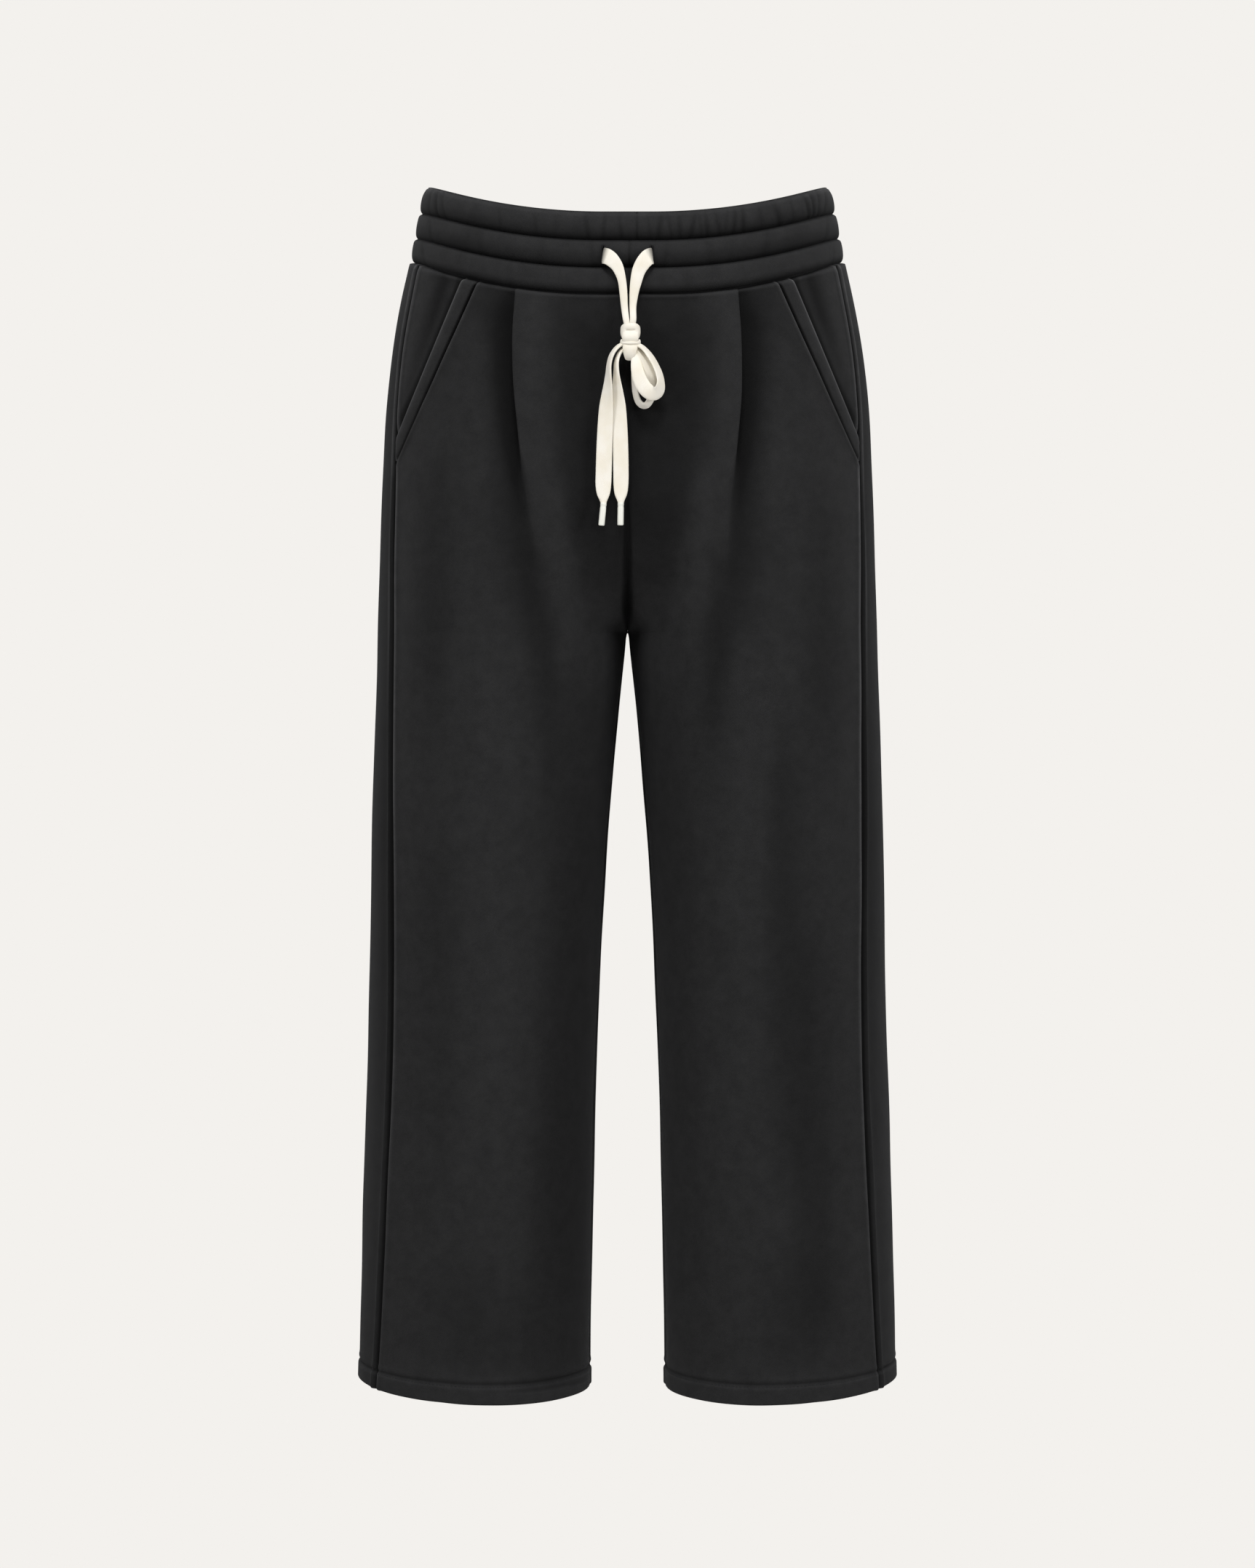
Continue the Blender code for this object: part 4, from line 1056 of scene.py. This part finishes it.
def cloth_piece(kind, side, levels, angle, z, relief, lying, thick, shade):
    """A piece of cloth: the outer surface moved along its normals, and an inner one a thickness
    behind it. The relief ends behind the waistband, where the edge rolls in, and the rest of the
    offset, how the piece is lying, doesn't. Beside the centre seams the cloth moves only
    straight in or out, so that both halves meet. Returns the object and its grids."""
    base = on_body(angle, z)
    normal = normals(angle, z)
    centre = ease(base[..., 0], 0.010, 0.001) * (z > CROTCH_Z - 0.0005)
    normal[..., 0] *= 1 - centre
    offset = relief * tucked(levels) + lying + waist_roll(levels, angle)
    outer = base + normal * offset[..., None]
    inner = outer - normal * (thick + 0 * angle)[..., None]
    run = length_along(base)
    uv = np.stack([run, z + 0 * run], axis=2)
    piece = wall(f"{kind}_cloth_{SIDE_NAMES[side]}", outer, inner, side, uv,
                 np.minimum(shade + waist_shade(levels), 1.0))
    finish_piece(piece, [FACE, INSIDE], [f"{NODES[kind]}_{SIDE_NAMES[side]}"])
    return piece, outer * (side, 1, 1), normal * (side, 1, 1)


def front_edge(z):
    """The front panel ends at the pocket welt, and below the pocket at the side seam."""
    return np.minimum(line_x(WELT_LINE, z), at("side_seam", z))


def front_panel(side):
    """One front, with its pleat, the folds below it, its rolled seams and its hem."""
    levels = cloth_levels(HEM_Z)
    pleat = meet(levels, lambda z: pleat_x(z, side))
    centre = np.full(levels.shape, -math.pi / 2)
    inside = strip(levels, centre, pleat, COLUMN_STEP["front"])
    outside = strip(levels, pleat, meet(levels, front_edge), COLUMN_STEP["front"])
    angle, z = [np.concatenate([a, b[:, 1:]], axis=1) for a, b in zip(inside, outside)]
    x, run, to_edge = piece_rows(angle, z)
    swell, thick = hem_shape(levels)
    above_crotch = ease(levels, CROTCH_Z - 0.006, CROTCH_Z)
    rising = ease(levels, FRONT_RISE_Z + 0.02, CROTCH_Z + 0.05)
    in_seam = ease(levels, WELT_END_Z + 0.004, WELT_END_Z - 0.010)
    centre_sink = 0.0003 + (0.0008 + 0.0036 * rising) * above_crotch
    seams = (edge_roll(run, centre_sink, 0.0026 + 0.0020 * rising * above_crotch, 0)
             + edge_roll(to_edge, seam_sink(levels), 0.0009 + 0.0006 * in_seam))
    folding = fold_field(angle, z, run, FRONT_FOLDS[side])
    pleating = pleat_offset(x, z, side, PLEAT_AT_WAIST)
    # Painted shade in the pleat's valley, stronger at the waist than its step, and in the folds
    shaded_pleat = np.minimum(pleat_offset(x, z, side, PLEAT_SHADE_AT_WAIST), 0.0006)
    # Painted highlight on the rolled edge beside the side seam and the welt
    painted_highlight = np.interp(levels, (-0.95, -0.71, -0.53, -0.41, -0.21, -0.19),
                     (0.20, 0.85, 1.35, 1.90, 1.90, 1.00)) * EDGE_HIGHLIGHT[side]
    seam_edge_highlight = painted_highlight * bump(to_edge - 0.0021 - 0.0013 * in_seam, 0.0010 + 0.0005 * in_seam)
    # Painted light over the cloth near the crotch, which turns down and inwards into shadow
    crotch = 0.55 * bump(z - CROTCH_Z, 0.030) * bump(np.maximum(run - 0.006, 0), 0.020) \
        * ease(run, 0.003, 0.008)
    return cloth_piece(
        "front", side, levels, angle, z, pleating + folding + seams,
        leg_opening(levels, run) + slow_waves(x * side, z, seed=11) + swell, thick,
        painted_shade_depth(shaded_pleat + folding, seams) - seam_edge_highlight - crotch + hem_shade(levels))


def back_panel(side):
    """One back, from the side seam round to the centre-back and inner-leg seam."""
    levels = cloth_levels(HEM_Z)
    seam = meet(levels, lambda z: at("side_seam", z))
    centre = np.full(levels.shape, 1.5 * math.pi)
    angle, z = strip(levels, seam, centre, COLUMN_STEP["back"])
    x, run, to_centre = piece_rows(angle, z)
    swell, thick = hem_shape(levels)
    above_crotch = ease(levels, CROTCH_Z - 0.006, CROTCH_Z)
    rising = ease(levels, BACK_RISE_Z, CROTCH_Z)
    centre_sink = 0.0006 + (0.0014 + 0.0026 * rising) * above_crotch
    seams = edge_roll(to_centre, centre_sink) + edge_roll(run, seam_sink(levels), 0.0017, 0.0017)
    folding = fold_field(angle, z, run, BACK_FOLDS[side])
    pulls = 0.0007 * np.sin(run * 2 * math.pi / 0.019 + 2 * np.sin(run * 40)) \
        * bump(below_band(levels) - 0.004, 0.020) * ease(run, 0.03, 0.09)
    # Painted shade beside the side seam, and a painted highlight on its rolled edge
    beside = bump(run, 0.036) * np.interp(levels, (-0.80, -0.62, -0.50, -0.25, -0.10, -0.04),
                                          (0.26, 0.46, 0.56, 0.40, 0.42, 0.0))
    painted_highlight = np.interp(levels, (-0.40, -0.30, -0.17, -0.05), (0, 1.1, 1.9, 1.9))
    ridge_at = 0.0044 + 0.0036 * ease(levels, -0.18, -0.30)
    groove = seam_shade(run, ridge_at, painted_highlight) * seam_sink(levels) / SEAM_SINK
    return cloth_piece(
        "back", side, levels, angle, z, folding + pulls + seams,
        leg_opening(levels, to_centre) + slow_waves(x * side + 0.4, z, seed=23) + swell, thick,
        painted_shade_depth(folding, seams) + beside + groove + hem_shade(levels))


def pocket_welt(side):
    """The doubled strip along the slanted opening: crowned across, its free edge rounded."""
    levels = cloth_levels(WELT_END_Z)
    first = meet(levels, lambda z: line_x(WELT_LINE, z))
    last = meet(levels, lambda z: np.minimum(line_x(OPENING_LINE, z), at("side_seam", z)))
    angle, z = strip(levels, first, last, COLUMN_STEP["welt"], NEAR_EDGE[:6])
    _, run, to_edge = piece_rows(angle, z)
    share = run / run[:, -1:]
    round_edge = np.sqrt(np.clip(1 - np.clip(1 - to_edge / 0.0011, 0, 1)**2, 0.01, 1))
    below_opening = ease(z, OPENING_LINE[1][1] + 0.004, OPENING_LINE[1][1] - 0.008)
    seams = edge_roll(run, 0.0024, 0.0009, 0)
    crown = 0.0008 + 0.0014 * np.sin(math.pi * np.clip(share, 0, 1)**1.3)**0.7
    # Painted highlight along the welt's free edge
    painted_highlight = WELT_HIGHLIGHT[side] * bump(to_edge - 0.0010, 0.0012) + 0.30 * bump(to_edge, 0.0060)
    return cloth_piece(
        "welt", side, levels, angle, z, crown + seams,
        -0.0018 * (1 - round_edge) - 0.0022 * below_opening * bump(to_edge, 0.002),
        WELT_CLOTH * (0.15 + 0.85 * round_edge), painted_shade_depth(0, seams) - painted_highlight)


def pocket_facing(side):
    """The piece behind the opening: deep under the welt's edge, level with the side seam, and
    sewn to the welt at the waist."""
    levels = cloth_levels(OPENING_LINE[1][1])
    first = meet(levels, lambda z: line_x(OPENING_LINE, z) - FACING_UNDER_WELT)
    last = meet(levels, lambda z: at("side_seam", z))
    angle, z = strip(levels, first, last, COLUMN_STEP["facing"], NEAR_EDGE[:7])
    x, _, to_seam = piece_rows(angle, z)
    past_opening = x - line_x(OPENING_LINE, z)
    across = np.maximum(at("side_seam", z) - line_x(OPENING_LINE, z), 1e-4)
    share = np.clip(past_opening / across, 0, 1)
    sag = 0.0016 * bump(share - 0.42, 0.15) * ease(z, -0.165, -0.06)
    sewn_in = ease(below_band(levels), 0.0, 0.0070)
    lying = (-OPENING_DEPTH * (1 - ease(share, -0.15, 0.85)) - sag) * sewn_in
    seams = edge_roll(to_seam, SEAM_SINK)
    # Painted shade under the welt's edge, and along a soft fold across the facing
    under = np.exp(-(np.maximum(past_opening - 0.0045, 0) / 0.0034)**1.5) \
        * (1 - 0.45 * ease(share, 0.35, 0.9))
    shade = np.maximum(painted_shade_depth(0.35 * lying, seams), under) \
        + 0.30 * bump(share - 0.42, 0.14) * ease(z, -0.120, -0.070)
    return cloth_piece("facing", side, levels, angle, z, seams, lying, FACING_CLOTH,
                       shade + seam_shade(to_seam, 0.0034, 1.7))


# ---------------------------------------------------------------- waistband

# Small gathers on the front: x where they cross, in millimetres, channel from the top, width,
# depth, and how far they lean between the top and bottom of the channel
FRONT_GATHERS = (
    (-163, 0, 1.3, 0.9, -2), (-157, 0, 1.5, 1.3, 1), (-151, 0, 1.4, 0.8, 3),
    (-104, 0, 1.6, 0.3, 2), (-75, 0, 1.8, 0.5, 2), (-58, 0, 2.4, 0.3, -3), (-33, 0, 1.8, 0.8, 3),
    (-19, 0, 1.6, 0.7, -2), (-6, 0, 1.6, 0.9, 2), (17, 0, 1.6, 0.5, 3), (26, 0, 1.9, 1.2, -3),
    (34, 0, 1.4, 0.6, 4), (42, 0, 1.7, 0.9, 2), (53, 0, 1.8, 1.2, -4), (59, 0, 1.2, 0.6, 2),
    (64, 0, 1.7, 1.1, 3), (73, 0, 1.6, 0.9, 5), (80, 0, 1.4, 0.5, -3), (87, 0, 1.6, 1.1, -2),
    (94, 0, 1.8, 1.2, 1), (108, 0, 1.8, 0.5, 4), (122, 0, 2.2, 1.2, 6), (134, 0, 1.6, 0.6, 3),
    (147, 0, 1.8, 1.2, 5), (152, 0, 1.4, 1.3, 3), (157, 0, 1.4, 1.1, 0), (163, 0, 1.3, 0.9, -2),
    (-162, 1, 1.8, 0.6, 2), (-120, 1, 3.4, 0.3, 3), (-70, 1, 3.0, 0.35, -2), (-29, 1, 2.2, 0.5, 2),
    (31, 1, 2.2, 0.5, -3), (66, 1, 2.8, 0.35, 3), (112, 1, 3.0, 0.4, -3), (164, 1, 1.8, 0.7, -2),
    (-168, 2, 1.8, 0.5, 2), (-96, 2, 3.6, 0.3, 2), (48, 2, 3.2, 0.3, -3), (170, 2, 1.8, 0.5, 0),
)
BAND_SEAMS = ((7.6, 0), (1.5, 1), (1.5, 2))     # x in millimetres, channel
BACK_GATHER_COUNT = 140


def band_ring(angles, share, swell):
    """Points of the whole waistband ring at a share of its height, moved out by a swell."""
    level = RIM_Z - BAND_HEIGHT * share
    place = (np.cos(angles) < 0).astype(int)
    depth = np.where(place, at("back", level), at("front", level))
    rim_dip, seam_dip = np.array(RIM_DIP)[place], np.array(SEAM_DIP)[place]
    bow = (outline(level, angles)[1] / depth)**2
    z = level - (rim_dip + (seam_dip - rim_dip) * share) * bow
    half = np.stack([*outline(z, angles), z], axis=1)
    half[[0, -1], 0] = 0
    ring = np.concatenate([half, half[-2:0:-1] * (-1, 1, 1)])
    along = np.roll(ring, -1, axis=0) - np.roll(ring, 1, axis=0)
    outward = np.stack([along[:, 1], -along[:, 0], 0 * along[:, 0]], axis=1)
    return ring + unit(outward) * np.broadcast_to(swell, len(ring))[:, None]


def band_stations():
    """Angles of the ring's columns: even along it, closer at the buttonholes."""
    fine = np.linspace(-math.pi / 2, 1.5 * math.pi, 4000)
    run = length_along(band_ring(fine, 0.5, 0.0)[:len(fine)])
    even = np.linspace(0, run[-1], round(run[-1] / BAND_STEP))
    hole = BUTTONHOLE_X + np.arange(-0.0036, 0.00361, HOLE_STEP)
    where = np.sort(np.concatenate([even[np.abs(even - BUTTONHOLE_X) > 0.0040], hole]))
    return np.interp(where, run, fine), where


def gathers(ring_run, ring_x, is_front, share):
    """Inward creases of the waistband at one share of its height: bells across the ring with a
    window down their own channel, placed as listed in front and irregularly round the back."""
    channel = min(CHANNELS - 1, int(share * CHANNELS))
    local = share * CHANNELS - channel
    window = math.sin(math.pi * min(max(local, 0.02), 0.98))**0.6
    total = 0 * ring_run
    for x, place, width, depth, lean in FRONT_GATHERS:
        if place == channel:
            centre = (x + lean * (local - 0.5)) * MM
            total += 0.8 * depth * MM * bump(ring_x - centre, width * MM) * is_front
    random = np.random.default_rng(5)
    length = ring_run[-1]
    for _ in range(BACK_GATHER_COUNT):
        spot, row = random.uniform(0.27, 0.73) * length, random.integers(0, CHANNELS)
        width, depth, lean = random.uniform(0.0018, 0.0042), random.uniform(0.2, 1.0), \
            random.uniform(-0.004, 0.004)
        if row == channel:
            total += depth * MM * bump(ring_run - spot - lean * (local - 0.5), width)
    return -total * window


def channel_swell(s, channel):
    """Outward swell down one channel, from 0 at its top stitching to 1 at its bottom one, and
    its share of shade. The face is full just under its top stitching and curves in lower down,
    and both rows of stitching pinch it sharply. The first channel rounds over into the rim."""
    height = BAND_HEIGHT / CHANNELS
    turn_in = (0.48, 0.34, 0.66)[channel]
    fallen = np.clip((s - turn_in) / (1 - turn_in), 0, 1)
    face = 0.0010 * np.sin(math.pi * s)**0.7 - (0.0018, 0.0018, 0.0010)[channel] * fallen**2
    top, bottom = s * height, (1 - s) * height
    pinch = (0.0026, 0.0026, 0.0009)[channel] * np.exp(-(bottom / 0.0017)**1.4)
    if channel:
        pinch = pinch + 0.0036 * np.exp(-(top / 0.0009)**1.2)
        shade = np.exp(-(top / 0.0012)**2)
    else:
        pinch = pinch + 0.0030 * np.clip(1 - top / 0.0095, 0, 1)**2.4
        shade = -0.75 * np.clip(1 - s / 0.16, 0, 1)
    lit = -(0.42, 0.34, 0.28)[channel] * (1 - np.clip(s / 0.55, 0, 1)) * np.clip(top / 0.0016, 0, 1)
    return face - pinch, np.clip(shade + lit + 0.88 * fallen**1.2, -1, 1)


def band_profile():
    """Shares of the band's height, outward swells, outer face or not, and shade, round its
    section: three puffed channels, a rounded rim, and a flatter wall inside."""
    rows = []
    for channel in range(CHANNELS):
        s = (1 - np.cos(np.linspace(0, math.pi, 27))) / 2
        swell, shade = channel_swell(s, channel)
        lift = channel // 2 * CHANNELS * BAND_LIFT / BAND_HEIGHT
        rows += zip((channel + s[:-1] * (1 - lift)) / CHANNELS, swell[:-1], np.ones(26),
                    shade[:-1])
    rows.append((1.0 - BAND_LIFT / BAND_HEIGHT, -0.0032, 1, 1))
    rows.append((1.0, -BAND_CLOTH - 0.0008, 0, 0))
    for share in np.linspace(0.97, 0.03, 34):
        local = share * CHANNELS % 1
        rows.append((share, -BAND_CLOTH - 0.0010 * math.sin(math.pi * local)**0.5, 0, 0))
    start, stop = rows[0][1], -BAND_CLOTH
    for turn in np.radians(np.linspace(168, 12, 9)):
        rows.append((-0.020 * math.sin(turn), (start + stop) / 2
                     + (start - stop) / 2 * math.cos(turn), 0, 0))
    return rows


def waistband():
    """The closed ring of doubled fleece over elastic, its channels, gathers and buttonholes."""
    angles, half_run = band_stations()
    run = np.concatenate([half_run, 2 * half_run[-1] - half_run[-2:0:-1]])
    mirror = np.repeat([1, -1], [len(angles), len(angles) - 2])
    front, at_side = (np.concatenate([half, half[-2:0:-1]])
                      for half in (np.cos(angles) > 0.05, flank(angles)))
    rings, uv, painted_shade = [], [], []
    profile = band_profile()
    for share, swell, outside, shade in profile:
        flat = band_ring(angles, max(share, 0.0), 0.0)
        x = np.abs(flat[:, 0]) * mirror
        crease = gathers(run, x, front, min(max(share, 0.0), 0.999))
        low = max(share * CHANNELS - 2, 0)
        move = crease * (0.35 + 0.65 * outside) + swell * (1 - 0.35 * outside * at_side) \
            - 0.0020 * low**2 * outside * at_side
        if outside:
            for seam_x, channel in BAND_SEAMS:
                if int(min(share, 0.999) * CHANNELS) == channel:
                    seam = BAND_SEAM * bump(x - seam_x * MM, BAND_SEAM) * front
                    crease, move = crease - seam, move - seam
            tall = ease(np.abs(flat[:, 2] - BUTTONHOLE_Z), *SLIT_HALF_HEIGHT)
            for hole_x in (-BUTTONHOLE_X, BUTTONHOLE_X):
                move = move - SLIT_DEPTH * bump(x - hole_x, SLIT_WIDTH) * tall * front
        ring = band_ring(angles, max(share, 0.0), move)
        if share < 0:
            ring[:, 2] += -share * BAND_HEIGHT
        rings.append(ring)
        # Painted shade in the gathers
        crease_shade = 0.55 * (1 - np.exp(np.minimum(crease, 0) / 0.0012))
        painted_shade.append(np.clip(PLAIN_SHADE + (1 - PLAIN_SHADE) * shade + crease_shade, -0.6, 1))
        uv.append(np.stack([run, np.full(len(run), -share * BAND_HEIGHT)], axis=1))
    rings = np.array(rings)
    kind = np.repeat([1 - outside for _, _, outside, _ in profile], len(run))
    piece = add_mesh("waistband_cloth", rings.reshape(-1, 3), ring_faces(rings, closed=True),
                     np.array(uv).reshape(-1, 2), face_material=kind, sharp=70,
                     painted_shade=np.array(painted_shade).ravel())
    return finish_piece(piece, [FACE, INSIDE], ["waistband"]), angles


# ---------------------------------------------------------------- thread

STITCH_PITCH = 0.0032
STITCH_LENGTH = 0.0024
THREAD_RADIUS = 0.00024
STITCH_SINK = 0.3             # how far a stitch's ends go into the cloth, in radii
HOLE_HALF_WIDTH = 0.0013
HOLE_HALF_HEIGHT = 0.0088
BEAD_RADIUS = 0.00042


def stitches(name, lines):
    """Rows of stitches as one mesh. Each stitch is a spindle with five sides: its centre line
    bows out of the cloth as a cosine, and its radius is the root of that, nothing at the ends
    where it dives in."""
    s = np.array([-0.5, -0.36, 0.0, 0.36, 0.5])
    bow = np.cos(math.pi * s)
    fat = np.sqrt(np.maximum(bow, 0))
    turn = np.radians(np.arange(5) * 360 / 5)
    stitch_rings = []
    for points, normal in lines:
        run = length_along(points)
        centre = np.arange(STITCH_PITCH / 2, run[-1] - STITCH_PITCH / 2, STITCH_PITCH)
        spot, up, ahead = (np.stack([np.interp(where, run, column) for column in grid.T], axis=1)
                           for where, grid in ((centre, points), (centre, normal),
                                               (centre + 0.0004, points)))
        up, along = unit(up), unit(ahead - spot)
        side = np.cross(along, up)
        axis = (spot[:, None] + along[:, None] * (s * STITCH_LENGTH)[None, :, None]
                + up[:, None] * ((bow - STITCH_SINK) * THREAD_RADIUS)[None, :, None])
        ring = (side[:, None, None] * np.cos(turn)[None, None, :, None]
                + up[:, None, None] * np.sin(turn)[None, None, :, None])
        stitch_rings.append(axis[:, :, None]
                            + ring * (fat * THREAD_RADIUS)[None, :, None, None])
    stitch_rings = np.concatenate(stitch_rings)
    one = ring_faces(stitch_rings[0])
    first = np.arange(len(stitch_rings)) * len(s) * len(turn)
    faces = (one[None] + first[:, None, None]).reshape(-1, 4)
    return finish_piece(add_mesh(name, stitch_rings.reshape(-1, 3), faces), [THREAD])


def band_puff(z):
    """Outward swell of the waistband at a height in the middle of the front."""
    share = np.clip((RIM_Z - RIM_DIP[0] - z) / (BAND_HEIGHT + SEAM_DIP[0] - RIM_DIP[0]), 0, 1)
    return channel_swell(share * CHANNELS % 1, 1)[0]


def buttonhole_ring(side):
    """The worked edge of one buttonhole: a thin bead along a tall oval on the cloth, whose x and
    z are the cosine to the power 0.7 and the sine to the power 0.9."""
    turn = np.linspace(0, 2 * math.pi, 121)[:-1]
    x = BUTTONHOLE_X + HOLE_HALF_WIDTH * signed_power(np.cos(turn), 0.7)
    z = BUTTONHOLE_Z + HOLE_HALF_HEIGHT * signed_power(np.sin(turn), 0.9)
    y = outline(z, front_angle(x, z))[1] - band_puff(z)
    centre = np.stack([x * side, y, z], axis=1)
    along = unit(np.roll(centre, -1, axis=0) - np.roll(centre, 1, axis=0))
    outward = np.tile(FRONT, (len(turn), 1))
    sideways = unit(np.cross(along, outward))
    around = np.radians(np.arange(0, 360, 30))[:, None]
    rings = (centre[:, None] + sideways[:, None] * BEAD_RADIUS * np.cos(around)
             + outward[:, None] * 0.8 * BEAD_RADIUS * np.sin(around))
    piece = add_mesh("buttonhole_" + SIDE_NAMES[side], rings.reshape(-1, 3),
                     ring_faces(rings, closed=True))
    return finish_piece(piece, [THREAD])


# ---------------------------------------------------------------- make the cloth

band, angles = waistband()
panels = {}
for side in SIDE_NAMES:
    panels["front", side] = front_panel(side)
    panels["back", side] = back_panel(side)
    panels["welt", side] = pocket_welt(side)
    panels["facing", side] = pocket_facing(side)
    buttonhole_ring(side)


def band_lines():
    """The two rows of stitching between the waistband's channels: points and normals."""
    lines = []
    for row in (1, 2):
        share = (row - row // 2 * BAND_LIFT / BAND_HEIGHT) / CHANNELS
        points, outer = (band_ring(angles, share, swell) for swell in (-0.0039, 0.0))
        lines.append((points, unit(outer - points)))
    return lines


def hem_lines():
    """The row of stitching round each hem, in its groove."""
    lines = []
    for kind, side in (("front", -1), ("back", -1), ("front", 1), ("back", 1)):
        _, outer, normal = panels[kind, side]
        middle = outer[:, outer.shape[1] // 2, 2]
        row = int(np.argmin(np.abs(middle - middle[-1] - HEM_HEIGHT)))
        lines.append((outer[row], normal[row]))
    return lines


stitches("channel_stitches", band_lines())
stitches("hem_stitches", hem_lines())


# ---------------------------------------------------------------- floor and light

BACKDROP = (0.898, 0.878, 0.848)
FLOOR_Z = -1.25
LIGHT_AIM = Vector((0, 0, -0.45))
# Softboxes: name, place, side of the square and power
SOFTBOXES = (
    ("key_softbox", (0.0, -3.4, 4.6), 1.5, 225),
    ("left_softbox", (-3.6, -2.6, 0.6), 1.4, 68),
    ("right_softbox", (3.6, -2.6, 0.6), 1.4, 84),
    ("back_softbox", (0.0, 3.4, 3.4), 1.8, 170),
    ("right_rear_softbox", (-3.4, 2.2, 1.4), 1.4, 40),
    ("left_rear_softbox", (3.4, 2.2, 1.4), 1.4, 40),
)


def show_backdrop(tree, plain, output):
    """Gives a surface its plain shader for the light that falls on it, and the room's even
    colour where it is seen directly."""
    path = add(tree, "ShaderNodeLightPath")
    even = add(tree, "ShaderNodeEmission", {"Color": (*BACKDROP, 1), "Strength": 1.0})
    mix = add(tree, "ShaderNodeMixShader", {"Fac": path.outputs["Is Camera Ray"], 1: plain,
                                            2: even.outputs["Emission"]})
    connect(tree, tree.nodes[output], {"Surface": mix.outputs["Shader"]})


def make_floor():
    """A wide pale disc under the garment."""
    turn = np.radians(np.arange(0, 360, 5))
    radii = np.array([0.02, 1.0, 2.5, 5.0, 9.0, 20.0, 60.0])[:, None]
    rings = np.stack([radii * np.cos(turn), radii * np.sin(turn), FLOOR_Z + 0 * radii * turn],
                     axis=2)
    floor = add_mesh("floor", rings.reshape(-1, 3), ring_faces(rings))
    material, tree, shader = new_material("pale_floor")
    connect(tree, shader, {"Base Color": (0.45, 0.44, 0.43, 1), "Roughness": 1.0,
                           "Specular IOR Level": 0.0})
    show_backdrop(tree, shader.outputs["BSDF"], "Material Output")
    floor.data.materials.append(material)


def make_light(name, place, size, power):
    """A square softbox at a place, aimed at the middle of the garment."""
    light = bpy.data.lights.new(name, "AREA")
    light.shape, light.size, light.energy = "SQUARE", size, power
    holder = bpy.data.objects.new(name, light)
    bpy.context.scene.collection.objects.link(holder)
    holder.location = place
    holder.rotation_euler = (LIGHT_AIM - Vector(place)).to_track_quat("-Z", "Y").to_euler()
    holder.visible_camera = False


def make_room():
    """The pale room: dim as a light, so that the softboxes model the cloth."""
    world = bpy.data.worlds.new("room")
    bpy.context.scene.world = world
    world.use_nodes = True
    tree = world.node_tree
    background = tree.nodes["Background"]
    connect(tree, background, {"Color": (0.95, 0.96, 1.0, 1), "Strength": 0.16})
    show_backdrop(tree, background.outputs["Background"], "World Output")


make_room()
make_floor()
for softbox in SOFTBOXES:
    make_light(*softbox)
bpy.context.scene.view_settings.view_transform = "Standard"
